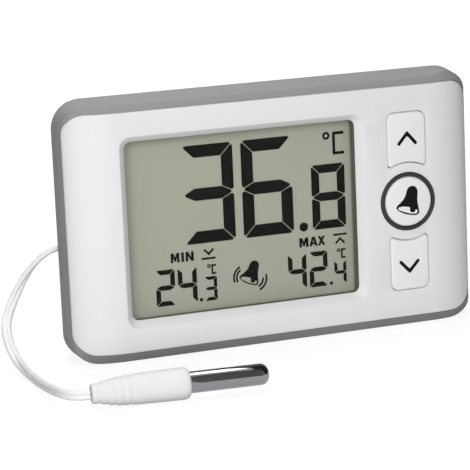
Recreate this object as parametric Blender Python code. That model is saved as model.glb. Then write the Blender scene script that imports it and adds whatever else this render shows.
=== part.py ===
"""Digital thermometer with an alarm and a wired steel probe, built from separate pieces.

Metres, +Z up. The display looks towards -Y, and the origin is under the middle of the housing.
Depths run from the flat front of the cover towards the back, along +Y.
"""

from math import asin, cos, pi, radians, sin, sqrt

import bmesh
import bpy
from mathutils import Matrix, Vector

# Clearances
GAP = 0.0003
SEAM = 0.00025

# Layout of the face, from left to right and from top to bottom
WINDOW_LEFT_MARGIN = 0.0130
WINDOW_WIDTH = 0.06825
WINDOW_TO_KEYS = 0.00673
KEY_WIDTH = 0.0111
KEYS_RIGHT_MARGIN = 0.01452
WINDOW_TOP_MARGIN = 0.0064
WINDOW_HEIGHT = 0.05065
WINDOW_BOTTOM_MARGIN = 0.00605

# Front cover
COVER_THICKNESS = 0.0024
COVER_END_WALL = 0.0012
END_CURVE_LENGTH = 0.0128
END_CURVE_DEPTH = 0.0065
WINDOW_CORNER = 0.0031
WINDOW_BEVEL_WIDTH = 0.0018
WINDOW_BEVEL_DEPTH = 0.0021

# Rear housing
RIM_WIDTH = 0.00275
RIM_DROP = 0.0020
RIM_END = 0.0006
CORNER_STEP = 0.0022
SIDE_DEPTH = 0.0125
BACK_ROUND = 0.0064
BACK_CORNER = 0.0010
BACK_WALL = 0.0018
INNER_ROUND = 0.0026
LEDGE = 0.0012

# Display stack
LENS_MARGIN = 0.0014
LENS_THICKNESS = 0.0010
GASKET_THICKNESS = 0.0008
GASKET_REVEAL = 0.0002
GLASS_THICKNESS = 0.0011
REFLECTOR_THICKNESS = 0.0003
GLASS_LEDGE = 0.0026
FRAME_WALL = 0.0012
STRIP_LENGTH = 0.0560

# Keys, alarm ring and switches
KEY_REACH = 0.02435
KEY_ARC = 0.0106
KEY_CORNER = 0.0015
KEY_PROUD = 0.0005
KEY_TRAVEL = 0.0006
KEY_FLANGE = 0.0008
KEY_FLANGE_REACH = 0.0007
KEY_POST_RADIUS = 0.0015
KEY_POST_LENGTH = 0.0005
RING_RADIUS = 0.0079
RING_BORE = 0.0069
RING_PROUD = 0.0004
RING_SEAT = 0.0012
SWITCH_SIZE = 0.0060
SWITCH_HEIGHT = 0.0035
PLUNGER_RADIUS = 0.0017
PLUNGER_OUT = 0.0008
PLUNGER_LENGTH = 0.0020

# Circuit board and what it carries
BOARD_THICKNESS = 0.0012
CHIP_SIZE = 0.0100
CHIP_HEIGHT = 0.0015
CRYSTAL_RADIUS = 0.0010
CRYSTAL_LENGTH = 0.0060
BUZZER_RADIUS = 0.0060
BUZZER_HEIGHT = 0.0042
SOUND_SLOT_WIDTH = 0.0012
SOUND_SLOT_PITCH = 0.0030

# Battery
CELL_RADIUS = 0.00525
CELL_LENGTH = 0.0437
CELL_NUB_RADIUS = 0.00275
CELL_NUB_LENGTH = 0.0008
CELL_X = -0.0130
CELL_ABOVE_MIDDLE = 0.0135
SPRING_LENGTH = 0.0040
SPRING_RADIUS = 0.0028
SPRING_WIRE = 0.00025
SPRING_TURNS = 3.5
CONTACT_THICKNESS = 0.0004
CONTACT_SIZE = 0.0080
TUB_WALL = 0.0012
DOOR_THICKNESS = 0.0016
DOOR_LEDGE = 0.0009
DOOR_GRIP_RADIUS = 0.0045

# Folding stand
STAND_WIDTH = 0.0160
STAND_THICKNESS = 0.0024
STAND_FOOT_Z = 0.0088
STAND_SUNK = 0.0004
STAND_BELOW_TUB = 0.0060
STAND_WALL = 0.0022
STAND_CLEARANCE = 0.0004
PIN_RADIUS = 0.0008
PIN_LENGTH = 0.0012
NOTCH_WIDTH = 0.0080
NOTCH_HEIGHT = 0.0032

# Screws
CASE_SCREW_END_INSET = 0.0083
CASE_SCREW_EDGE_INSET = 0.00785
BOSS_RADIUS = 0.0024
BOSS_END = 0.0130
SLEEVE_RADIUS = 0.0036
SCREW_SEAT = 0.0170
SCREW_RADIUS = 0.0010
SCREW_LENGTH = 0.0100
SCREW_HEAD_RADIUS = 0.0021
SCREW_HEAD_HEIGHT = 0.0016
BOARD_SCREW_Z = 0.0200
BOARD_POST_RADIUS = 0.0018
BOARD_SCREW_RADIUS = 0.0006
BOARD_SCREW_LENGTH = 0.0038
BOARD_SCREW_HEAD = 0.0015

# Sensor lead, its grommet and its coil behind the housing
CORD_RADIUS = 0.0013
CORD_THICKNESS = 0.0013
GROMMET_FROM_LEFT = 0.0429
GROMMET_Z = 0.0120
GROMMET_FLANGE_RADIUS = 0.0032
GROMMET_FLANGE = 0.0010
GROMMET_NECK_RADIUS = 0.0020
GROMMET_NOSE_RADIUS = 0.0028
GROMMET_TIP_RADIUS = 0.0018
GROMMET_NOSE_LENGTH = 0.0043
GUIDE_Z = 0.0282
GUIDE_HEIGHT = 0.0096
GUIDE_DEPTH = 0.0170
GUIDE_REACH = 0.0134
COIL_FROM_LEFT = 0.0274
COIL_BEHIND = 0.01955
COIL_RADIUS = 0.0135
COIL_COLUMNS = 5
COIL_LAYERS = 2
TIE_WIDTH = 0.0030
TIE_THICKNESS = 0.0004
FLOOR_GAP = 0.00005

# Probe, lying on the floor in front
PROBE_FROM_LEFT = -0.00842
PROBE_BEHIND = -0.06012
PROBE_ANGLE = radians(-4.73)
BOOT_LENGTH = 0.0244
BOOT_RADIUS = 0.00400
BOOT_NECK_RADIUS = 0.00235
BOOT_TAPER = 0.0100
BOOT_RIBS = 5
BOOT_RIB_DEPTH = 0.00022
TUBE_RADIUS = 0.0027
TUBE_WALL = 0.0005
TUBE_OUT = 0.0202
TUBE_IN = 0.0080
TIP_ROUND = 0.0020
BEAD_LENGTH = 0.0045

# Sizes that follow from the ones above
COVER_WIDTH = WINDOW_LEFT_MARGIN + WINDOW_WIDTH + WINDOW_TO_KEYS + KEY_WIDTH + KEYS_RIGHT_MARGIN
COVER_HEIGHT = WINDOW_TOP_MARGIN + WINDOW_HEIGHT + WINDOW_BOTTOM_MARGIN
BODY_WIDTH = COVER_WIDTH + 2 * RIM_END
BODY_HEIGHT = COVER_HEIGHT + 2 * RIM_WIDTH
MID_Z = BODY_HEIGHT / 2
LEFT_X = -BODY_WIDTH / 2
CASE_SCREW_X = COVER_WIDTH / 2 - CASE_SCREW_END_INSET
CASE_SCREW_Z = COVER_HEIGHT / 2 - CASE_SCREW_EDGE_INSET
BODY_CORNER = BACK_ROUND + BACK_CORNER
COVER_CORNER = BODY_CORNER - CORNER_STEP
END_START = COVER_WIDTH / 2 - END_CURVE_LENGTH
WINDOW_X = -COVER_WIDTH / 2 + WINDOW_LEFT_MARGIN + WINDOW_WIDTH / 2
WINDOW_Z = RIM_WIDTH + WINDOW_BOTTOM_MARGIN + WINDOW_HEIGHT / 2
OPENING_WIDTH = WINDOW_WIDTH - 2 * WINDOW_BEVEL_WIDTH
OPENING_HEIGHT = WINDOW_HEIGHT - 2 * WINDOW_BEVEL_WIDTH
OPENING_CORNER = WINDOW_CORNER - WINDOW_BEVEL_WIDTH
KEY_X = COVER_WIDTH / 2 - KEYS_RIGHT_MARGIN - KEY_WIDTH / 2
KEY_MIDDLE = (KEY_ARC + KEY_REACH) / 2
ALARM_RADIUS = RING_BORE - GAP

LENS_FRONT = COVER_THICKNESS + GAP
GASKET_FRONT = LENS_FRONT + LENS_THICKNESS + GAP
GLASS_FRONT = GASKET_FRONT + GASKET_THICKNESS + GAP
REAR_GLASS_FRONT = GLASS_FRONT + GLASS_THICKNESS + GAP
REFLECTOR_FRONT = REAR_GLASS_FRONT + GLASS_THICKNESS + GAP
DISPLAY_BACK = REFLECTOR_FRONT + REFLECTOR_THICKNESS
LENS_WIDTH = OPENING_WIDTH + 2 * LENS_MARGIN
LENS_HEIGHT = OPENING_HEIGHT + 2 * LENS_MARGIN
GLASS_HEIGHT = LENS_HEIGHT + GLASS_LEDGE
GLASS_Z = WINDOW_Z - GLASS_LEDGE / 2

KEY_FLANGE_FRONT = COVER_THICKNESS + GAP
KEY_POST_FRONT = KEY_FLANGE_FRONT + KEY_FLANGE
PLUNGER_FRONT = KEY_POST_FRONT + KEY_POST_LENGTH + GAP
SWITCH_FRONT = PLUNGER_FRONT + PLUNGER_OUT
BOARD_FRONT = max(SWITCH_FRONT + SWITCH_HEIGHT, DISPLAY_BACK) + GAP
BOARD_BACK = BOARD_FRONT + BOARD_THICKNESS

TUB_FRONT = DISPLAY_BACK + GAP + TUB_WALL
CELL_DEPTH = TUB_FRONT + GAP + CELL_RADIUS
CELL_Z = MID_Z + CELL_ABOVE_MIDDLE
TUB_LENGTH = CELL_LENGTH + CELL_NUB_LENGTH + SPRING_LENGTH + CONTACT_THICKNESS + 4 * GAP
TUB_HEIGHT = 2 * (CELL_RADIUS + GAP)
TUB_LEFT = CELL_X - TUB_LENGTH / 2
DOOR_FRONT = CELL_DEPTH + CELL_RADIUS + GAP
BODY_DEPTH = DOOR_FRONT + DOOR_THICKNESS
FACE_Y = -(BODY_DEPTH - max(KEY_PROUD, RING_PROUD)) / 2
BACK_Y = FACE_Y + BODY_DEPTH

FRAME_WIDTH = LENS_WIDTH + 2 * (GAP + FRAME_WALL)
FRAME_HEIGHT = GLASS_HEIGHT + 2 * (GAP + FRAME_WALL)
FRAME_RIGHT = WINDOW_X + FRAME_WIDTH / 2
BOARD_SCREW_X = (FRAME_RIGHT + KEY_X - KEY_WIDTH / 2 - KEY_FLANGE_REACH) / 2

STAND_HINGE_Z = CELL_Z - TUB_HEIGHT / 2 - TUB_WALL - STAND_BELOW_TUB
STAND_HINGE_DEPTH = BODY_DEPTH - STAND_SUNK - STAND_THICKNESS / 2
STAND_LENGTH = STAND_HINGE_Z - STAND_FOOT_Z

GROMMET_X = LEFT_X + GROMMET_FROM_LEFT
COIL_X = LEFT_X + COIL_FROM_LEFT
COIL_Y = BACK_Y + COIL_BEHIND
COIL_PITCH = CORD_THICKNESS + GAP / 2
COIL_LAYER = 2 * CORD_RADIUS + GAP / 3
COIL_BOTTOM = FLOOR_GAP + TIE_THICKNESS + GAP
COIL_HALF_WIDTH = COIL_COLUMNS * COIL_PITCH / 2
COIL_HEIGHT = COIL_LAYERS * COIL_LAYER
PROBE_X = LEFT_X + PROBE_FROM_LEFT
PROBE_Y = BACK_Y + PROBE_BEHIND
PROBE_Z = BOOT_RADIUS + FLOOR_GAP

# Routes of the lead, from the housing's left edge along x, from its back along y, and from the floor.
# From the coil up to the guide and round to the probe
LEAD_ROUTE = [
    (0.0110, 0.01025, 0.0021),
    (0.0110, 0.00725, 0.0027),
    (0.0110, 0.00435, 0.0050),
    (0.0109, 0.00265, 0.0095),
    (0.0108, 0.00215, 0.0155),
    (0.0105, 0.00185, 0.0204),
    (0.0092, 0.00085, 0.02525),
    (0.0058, -0.00155, 0.02825),
    (0.0013, -0.00275, 0.02845),
    (-0.0020, -0.00235, 0.02715),
    (-0.0047, -0.00135, 0.02475),
    (-0.0073, -0.00025, 0.02115),
    (-0.0101, -0.00005, 0.01645),
    (-0.0126, -0.00185, 0.01255),
    (-0.0146, -0.00605, 0.00935),
    (-0.01545, -0.01285, 0.00575),
    (-0.01465, -0.01795, 0.00275),
    (-0.01445, -0.02725, 0.0018),
    (-0.0149, -0.04135, 0.0026),
    (-0.0149, -0.05135, 0.0036),
    (-0.0144, -0.05555, 0.0040),
    (-0.0131, -0.05825, 0.0040),
    (-0.0112, -0.05975, 0.0040),
    (-0.0087, -0.06005, 0.0040),
]

# From the grommet down to the top of the coil
EXIT_ROUTE = [
    (0.0429, 0.00485, 0.0120),
    (0.0429, 0.00755, 0.0117),
    (0.0431, 0.01105, 0.0102),
    (0.0434, 0.01385, 0.0082),
]

# Inside, from the grommet to the circuit board
TAIL_ROUTE = [
    (0.0429, -0.00405, 0.0120),
    (0.0428, -0.00585, 0.0121),
    (0.0416, -0.00805, 0.0132),
    (0.0394, -0.00965, 0.0152),
    (0.0384, -0.01035, 0.0172),
]


def deep(depth):
    """World y of a depth behind the flat front of the cover."""
    return FACE_Y + depth


def material(name, colour, roughness, metallic=0.0, alpha=1.0):
    """Principled material with one colour."""
    made = bpy.data.materials.new(name)
    made.use_nodes = True
    shader = made.node_tree.nodes["Principled BSDF"]
    shader.inputs["Base Color"].default_value = (*colour, 1.0)
    shader.inputs["Roughness"].default_value = roughness
    shader.inputs["Metallic"].default_value = metallic
    shader.inputs["Alpha"].default_value = alpha
    return made


def finish(mesh_data, name, surface=None, smooth=True):
    """Turn a bmesh into a named object with its material."""
    bmesh.ops.remove_doubles(mesh_data, verts=mesh_data.verts, dist=1e-7)
    bmesh.ops.recalc_face_normals(mesh_data, faces=mesh_data.faces)
    mesh = bpy.data.meshes.new(name)
    mesh_data.to_mesh(mesh)
    mesh_data.free()
    thing = bpy.data.objects.new(name, mesh)
    bpy.context.collection.objects.link(thing)
    if surface:
        dress(thing, surface, smooth)
    return thing


def dress(thing, surface, smooth=True):
    """Give an object its material and its shading."""
    thing.data.materials.clear()
    thing.data.materials.append(surface)
    if smooth:
        thing.data.shade_smooth()
        thing.data.set_sharp_from_angle(angle=radians(32))


def combine(target, tools, operation):
    """Join or cut several objects in one step, and remove the tools."""
    group = bpy.data.collections.new("tools")
    for tool in tools:
        group.objects.link(tool)
    modifier = target.modifiers.new(operation, "BOOLEAN")
    modifier.operation = operation
    modifier.solver = "EXACT"
    modifier.operand_type = "COLLECTION"
    modifier.collection = group
    graph = bpy.context.evaluated_depsgraph_get()
    shaped = bpy.data.meshes.new_from_object(target.evaluated_get(graph))
    target.modifiers.clear()
    target.data = shaped
    for tool in tools:
        bpy.data.objects.remove(tool)
    bpy.data.collections.remove(group)


def cut(target, *tools):
    """Cut tools out of an object."""
    combine(target, tools, "DIFFERENCE")


def join(target, *tools):
    """Join tools to an object as one body."""
    combine(target, tools, "UNION")


def move_origin(thing, point):
    """Put an object's origin on a point without moving its shape."""
    thing.data.transform(Matrix.Translation(-Vector(point)))
    thing.location = point


def box(name, x_range, depth_range, z_range, surface=None):
    """Box between two limits on each axis, with depths along Y."""
    low = Vector((x_range[0], deep(depth_range[0]), z_range[0]))
    high = Vector((x_range[1], deep(depth_range[1]), z_range[1]))
    shape = bmesh.new()
    place = Matrix.Translation((low + high) / 2) @ Matrix.Diagonal((*(high - low), 1.0))
    bmesh.ops.create_cube(shape, size=1.0, matrix=place)
    return finish(shape, name, surface, smooth=False)


def turned(name, profile, place, surface=None, sides=32):
    """Spin a profile of (radius, height) points about its axis, then place it."""
    shape = bmesh.new()
    points = [shape.verts.new((radius, 0.0, height)) for radius, height in profile]
    edges = [shape.edges.new(pair) for pair in zip(points, points[1:])]
    bmesh.ops.spin(
        shape, geom=points + edges, axis=(0, 0, 1), cent=(0, 0, 0),
        angle=2 * pi, steps=sides, use_merge=True,
    )
    bmesh.ops.remove_doubles(shape, verts=shape.verts, dist=1e-7)
    bmesh.ops.transform(shape, matrix=place, verts=shape.verts)
    return finish(shape, name, surface)


def along_depth(x, z):
    """Placement that points an axis towards the back, with height 0 on the flat front."""
    return Matrix.Translation((x, FACE_Y, z)) @ Matrix.Rotation(-pi / 2, 4, "X")


def along_x(x, depth, z):
    """Placement that points an axis towards +X."""
    return Matrix.Translation((x, deep(depth), z)) @ Matrix.Rotation(pi / 2, 4, "Y")


def rod(name, radius, depth_range, x, z, surface=None, sides=32):
    """Round rod along the depth."""
    front, back = depth_range
    profile = [(0.0, front), (radius, front), (radius, back), (0.0, back)]
    return turned(name, profile, along_depth(x, z), surface, sides)


def arc(centre, radius, start, end, steps):
    """Points along an arc, both ends included."""
    turns = [start + (end - start) * step / steps for step in range(steps + 1)]
    return [(centre[0] + radius * cos(turn), centre[1] + radius * sin(turn)) for turn in turns]


def rounded(width, height, corner, centre=(0.0, 0.0), steps=5):
    """Rounded rectangle as (x, z) points."""
    points = []
    for quarter, (side, level) in enumerate([(1, 1), (-1, 1), (-1, -1), (1, -1)]):
        middle = (
            centre[0] + side * (width / 2 - corner),
            centre[1] + level * (height / 2 - corner),
        )
        points += arc(middle, corner, quarter * pi / 2, (quarter + 1) * pi / 2, steps)
    return points


def loft(name, rings, surface=None, caps="flat"):
    """Solid through rings of equal length; caps are one face, or strips between top and bottom."""
    shape = bmesh.new()
    rows = [[shape.verts.new(point) for point in ring] for ring in rings]
    for row, after in zip(rows, rows[1:]):
        for index in range(len(row)):
            beside = index - 1
            shape.faces.new((row[beside], row[index], after[index], after[beside]))
    for row in (rows[0], rows[-1]):
        if caps == "flat":
            shape.faces.new(row)
            continue
        half = len(row) // 2
        for index in range(half - 1):
            shape.faces.new((row[index], row[index + 1], row[-2 - index], row[-1 - index]))
    return finish(shape, name, surface)


def prism(name, outline, depth_range, surface=None):
    """Outline of (x, z) points pulled out between two depths."""
    rings = [[(x, deep(depth), z) for x, z in outline] for depth in depth_range]
    return loft(name, rings, surface)


def shell_outline(half_width, half_height, corner, steps=6, end_steps=4):
    """Housing outline: top chain from left to right, then the bottom chain back, as (x, z)."""
    right = []
    for step in range(end_steps):
        share = step / end_steps
        right.append((END_START + share * (half_width - corner - END_START), half_height))
    middle = (half_width - corner, half_height - corner)
    right += arc(middle, corner, pi / 2, 0.0, steps)
    top = [(-x, z) for x, z in reversed(right)] + right
    bottom = [(x, -z) for x, z in reversed(top)]
    return [(x, MID_Z + z) for x, z in top + bottom]


def front_depth(x, z):
    """Depth of the front surface: flat, curved away at both ends, chamfered at top and bottom."""
    share = min(1.0, max(0.0, abs(x) - END_START) / END_CURVE_LENGTH)
    curve = END_CURVE_DEPTH * (1 - sqrt(1 - share * share))
    slope = max(0.0, abs(z - MID_Z) - COVER_HEIGHT / 2) * RIM_DROP / RIM_WIDTH
    return curve + slope


def cover_back_depth(x):
    """Depth of the cover's inner surface."""
    share = min(1.0, max(0.0, abs(x) - END_START) / (END_CURVE_LENGTH - COVER_END_WALL))
    return COVER_THICKNESS + END_CURVE_DEPTH * (1 - sqrt(1 - share * share))


def cover_outline(grow):
    """Outline of the cover, grown by a clearance or shrunk by a ledge."""
    return shell_outline(COVER_WIDTH / 2 + grow, COVER_HEIGHT / 2 + grow, COVER_CORNER + grow)


def key_outline(level, grow):
    """Outline of the upper (1) or lower (-1) key, hollowed round the alarm key."""
    half = KEY_WIDTH / 2 + grow
    reach = KEY_REACH + grow
    corner = KEY_CORNER + grow
    hollow = KEY_ARC - grow
    side = asin(half / hollow)
    points = arc((half - corner, reach - corner), corner, 0.0, pi / 2, 4)
    points += arc((corner - half, reach - corner), corner, pi / 2, pi, 4)
    points += arc((0.0, 0.0), hollow, pi / 2 + side, pi / 2 - side, 10)
    return [(KEY_X + x, MID_Z + level * z) for x, z in points]


def window_cutter():
    """Tool for the display opening, with its sloping frame."""
    slope = WINDOW_BEVEL_WIDTH / WINDOW_BEVEL_DEPTH
    before = GAP
    stations = [
        (-before, before * slope),
        (WINDOW_BEVEL_DEPTH, -WINDOW_BEVEL_WIDTH),
        (COVER_THICKNESS + GAP, -WINDOW_BEVEL_WIDTH),
    ]
    rings = []
    for depth, grow in stations:
        outline = rounded(
            WINDOW_WIDTH + 2 * grow, WINDOW_HEIGHT + 2 * grow, WINDOW_CORNER + grow,
            (WINDOW_X, WINDOW_Z),
        )
        rings.append([(x, deep(depth), z) for x, z in outline])
    return loft("window_cutter", rings)


def case_screw_places():
    """Places of the four case screws on the face."""
    return [
        (side * CASE_SCREW_X, MID_Z + level * CASE_SCREW_Z)
        for level in (1, -1) for side in (-1, 1)
    ]


def board_screw_places():
    """Places of the two board screws on the face."""
    return [(BOARD_SCREW_X, MID_Z + level * BOARD_SCREW_Z) for level in (1, -1)]


def make_cover(surface):
    """White front cover with its openings, screw bosses and board posts."""
    outline = cover_outline(0.0)
    rings = [
        [(x, deep(front_depth(x, MID_Z)), z) for x, z in outline],
        [(x, deep(cover_back_depth(x)), z) for x, z in outline],
    ]
    cover = loft("front_cover", rings, caps="strips")
    through = (-GAP, COVER_THICKNESS + GAP)
    seat = (-GAP, RING_SEAT)
    inside = COVER_THICKNESS / 2
    solids = []
    tools = [
        window_cutter(),
        prism("key_hole", key_outline(1, GAP), through),
        prism("key_hole", key_outline(-1, GAP), through),
        rod("alarm_hole", RING_BORE, through, KEY_X, MID_Z, sides=48),
        rod("ring_seat", RING_RADIUS + SEAM, seat, KEY_X, MID_Z, sides=48),
    ]
    for x, z in case_screw_places():
        start = front_depth(abs(x) + BOSS_RADIUS, z) + inside
        solids.append(rod("boss", BOSS_RADIUS, (start, BOSS_END), x, z, sides=24))
        pilot = (SCREW_SEAT - SCREW_LENGTH, BOSS_END + GAP)
        tools.append(rod("pilot", SCREW_RADIUS + GAP, pilot, x, z, sides=16))
    for x, z in board_screw_places():
        solids.append(rod("post", BOARD_POST_RADIUS, (inside, BOARD_FRONT - GAP), x, z, sides=20))
        pilot = (BOARD_BACK - BOARD_SCREW_LENGTH, BOARD_FRONT)
        tools.append(rod("pilot", BOARD_SCREW_RADIUS + GAP, pilot, x, z, sides=12))
    join(cover, *solids)
    cut(cover, *tools)
    dress(cover, surface)


def body_outline(inset):
    """Outline of the housing, shrunk evenly."""
    return shell_outline(BODY_WIDTH / 2 - inset, BODY_HEIGHT / 2 - inset, BODY_CORNER - inset)


def housing_block():
    """Outer shape of the rear housing as one solid."""
    rim = [(x, deep(front_depth(x, MID_Z)), z) for x, z in cover_outline(0.0)]
    edge = [(x, deep(front_depth(x, z)), z) for x, z in body_outline(0.0)]
    rings = [rim, edge]
    round_depth = BODY_DEPTH - SIDE_DEPTH
    steps = 7
    for step in range(steps + 1):
        turn = pi / 2 * step / steps
        depth = SIDE_DEPTH + round_depth * sin(turn)
        inset = BACK_ROUND * (1 - cos(turn))
        rings.append([(x, deep(depth), z) for x, z in body_outline(inset)])
    return loft("rear_housing", rings, caps="strips")


def cavity_cutter():
    """Tool for the space inside the housing, with a round edge at its back."""
    rings = [[(x, deep(-GAP), z) for x, z in cover_outline(SEAM - LEDGE)]]
    round_depth = BODY_DEPTH - BACK_WALL - SIDE_DEPTH
    steps = 4
    for step in range(steps + 1):
        turn = pi / 2 * step / steps
        depth = SIDE_DEPTH + round_depth * sin(turn)
        grow = SEAM - LEDGE - INNER_ROUND * (1 - cos(turn))
        rings.append([(x, deep(depth), z) for x, z in cover_outline(grow)])
    return loft("cavity_cutter", rings, caps="strips")


def cover_seat_cutter():
    """Tool for the recess that the cover sits in."""
    outline = cover_outline(SEAM)
    rings = [
        [(x, deep(-GAP), z) for x, z in outline],
        [(x, deep(cover_back_depth(x) + GAP), z) for x, z in outline],
    ]
    return loft("cover_seat", rings, caps="strips")


def tub_box(name, grow, front):
    """Box round the battery space, from a depth to beyond the back."""
    return box(
        name,
        (TUB_LEFT - grow, TUB_LEFT + TUB_LENGTH + grow),
        (front, BODY_DEPTH + GAP),
        (CELL_Z - TUB_HEIGHT / 2 - grow, CELL_Z + TUB_HEIGHT / 2 + grow),
    )


def stand_box(name, grow, front):
    """Box round the folded stand, from a depth to beyond the back."""
    half = STAND_WIDTH / 2 + GAP + grow
    top = STAND_HINGE_Z + STAND_THICKNESS / 2 + STAND_CLEARANCE + grow
    return box(name, (-half, half), (front, BODY_DEPTH + GAP), (STAND_FOOT_Z - GAP - grow, top))


def guide_box(name, grow):
    """Box of the lead's guide in the left rear edge."""
    half = GUIDE_HEIGHT / 2 + grow
    return box(
        name,
        (LEFT_X - GAP, LEFT_X + GUIDE_REACH + grow),
        (GUIDE_DEPTH - grow, BODY_DEPTH + GAP),
        (GUIDE_Z - half, GUIDE_Z + half),
    )


def make_housing(surface):
    """Grey rear housing with the battery tub, the stand's recess, the lead's guide and sleeves."""
    recess = STAND_HINGE_DEPTH - STAND_THICKNESS / 2 - STAND_CLEARANCE
    behind = BODY_DEPTH + GAP
    solids = [
        tub_box("tub", DOOR_LEDGE + TUB_WALL, TUB_FRONT - TUB_WALL),
        stand_box("stand_block", STAND_WALL, recess - STAND_WALL),
        guide_box("guide_block", BACK_WALL),
    ]
    tools = [
        tub_box("tub_space", 0.0, TUB_FRONT),
        tub_box("door_seat", DOOR_LEDGE, DOOR_FRONT - GAP),
        stand_box("stand_recess", 0.0, recess),
        guide_box("guide", 0.0),
    ]
    for x, z in case_screw_places():
        solids.append(rod("sleeve", SLEEVE_RADIUS, (BOSS_END + GAP, behind), x, z, sides=24))
        tools.append(rod("counterbore", SCREW_HEAD_RADIUS + GAP, (SCREW_SEAT, behind), x, z, sides=24))
        tools.append(rod("screw_hole", SCREW_RADIUS + GAP, (BOSS_END, behind), x, z, sides=16))
    hole = STAND_WIDTH / 2 + PIN_LENGTH + GAP
    profile = [(0.0, -hole), (PIN_RADIUS + GAP, -hole), (PIN_RADIUS + GAP, hole), (0.0, hole)]
    hinge = along_x(0.0, STAND_HINGE_DEPTH, STAND_HINGE_Z)
    tools.append(turned("pin_holes", profile, hinge, sides=16))
    notch = (STAND_FOOT_Z - NOTCH_HEIGHT, STAND_FOOT_Z)
    tools.append(box("notch", (-NOTCH_WIDTH / 2, NOTCH_WIDTH / 2), (recess, behind), notch))
    wall = (BODY_DEPTH - BACK_WALL - GAP, behind)
    neck = GROMMET_NECK_RADIUS + GAP
    tools.append(rod("grommet_hole", neck, wall, GROMMET_X, GROMMET_Z, sides=24))
    for step in (-1, 0, 1):
        z = MID_Z - KEY_MIDDLE + step * SOUND_SLOT_PITCH
        slot = (z - SOUND_SLOT_WIDTH / 2, z + SOUND_SLOT_WIDTH / 2)
        tools.append(box("slot", (KEY_X - BUZZER_RADIUS, KEY_X + BUZZER_RADIUS), wall, slot))

    cavity = cavity_cutter()
    cut(cavity, *solids)
    housing = housing_block()
    cut(housing, cover_seat_cutter(), cavity)
    cut(housing, *tools)
    dress(housing, surface)


def make_display(lens, rubber, glass, foil, plastic, strip):
    """Window, gasket, two glasses, reflector, frame and contact strip of the display."""
    middle = (WINDOW_X, WINDOW_Z)
    corner = OPENING_CORNER
    lens_outline = rounded(LENS_WIDTH, LENS_HEIGHT, corner, middle)
    prism("display_window", lens_outline, (LENS_FRONT, LENS_FRONT + LENS_THICKNESS), lens)

    gasket_range = (GASKET_FRONT, GASKET_FRONT + GASKET_THICKNESS)
    gasket = prism("display_gasket", lens_outline, gasket_range)
    reveal = 2 * GASKET_REVEAL
    inner = rounded(OPENING_WIDTH + reveal, OPENING_HEIGHT + reveal, corner, middle)
    cut(gasket, prism("gasket_hole", inner, (GLASS_FRONT - 2 * GLASS_THICKNESS, GLASS_FRONT)))
    dress(gasket, rubber)

    half = LENS_WIDTH / 2
    sides = (WINDOW_X - half, WINDOW_X + half)
    top = GLASS_Z + GLASS_HEIGHT / 2
    low = GLASS_Z - GLASS_HEIGHT / 2
    shelf = low + GLASS_LEDGE
    box("lcd_front_glass", sides, (GLASS_FRONT, GLASS_FRONT + GLASS_THICKNESS), (low, top), glass)
    rear = (REAR_GLASS_FRONT, REAR_GLASS_FRONT + GLASS_THICKNESS)
    box("lcd_rear_glass", sides, rear, (shelf, top), glass)
    box("lcd_reflector", sides, (REFLECTOR_FRONT, DISPLAY_BACK), (shelf, top), foil)

    frame_range = (LENS_FRONT, BOARD_FRONT - GAP)
    middle = (WINDOW_X, GLASS_Z)
    frame = prism("display_frame", rounded(FRAME_WIDTH, FRAME_HEIGHT, FRAME_WALL, middle), frame_range)
    inner = rounded(LENS_WIDTH + 2 * GAP, GLASS_HEIGHT + 2 * GAP, GAP, middle)
    cut(frame, prism("frame_hole", inner, (0.0, BOARD_BACK)))
    dress(frame, plastic)

    box(
        "contact_strip",
        (WINDOW_X - STRIP_LENGTH / 2, WINDOW_X + STRIP_LENGTH / 2),
        (REAR_GLASS_FRONT, BOARD_FRONT - GAP),
        (low + GAP, shelf - GAP),
        strip,
    )


def make_key(name, outline, flange, z, surface):
    """One key: a cap through the cover, a flange behind it and a post for its switch."""
    key = prism(name, outline, (-KEY_PROUD, KEY_POST_FRONT - KEY_FLANGE / 2))
    join(key, prism("flange", flange, (KEY_FLANGE_FRONT, KEY_POST_FRONT)))
    post = (KEY_POST_FRONT - KEY_FLANGE / 2, KEY_POST_FRONT + KEY_POST_LENGTH)
    join(key, rod("post", KEY_POST_RADIUS, post, KEY_X, z, sides=24))
    dress(key, surface)
    move_origin(key, (KEY_X, FACE_Y, z))


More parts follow.
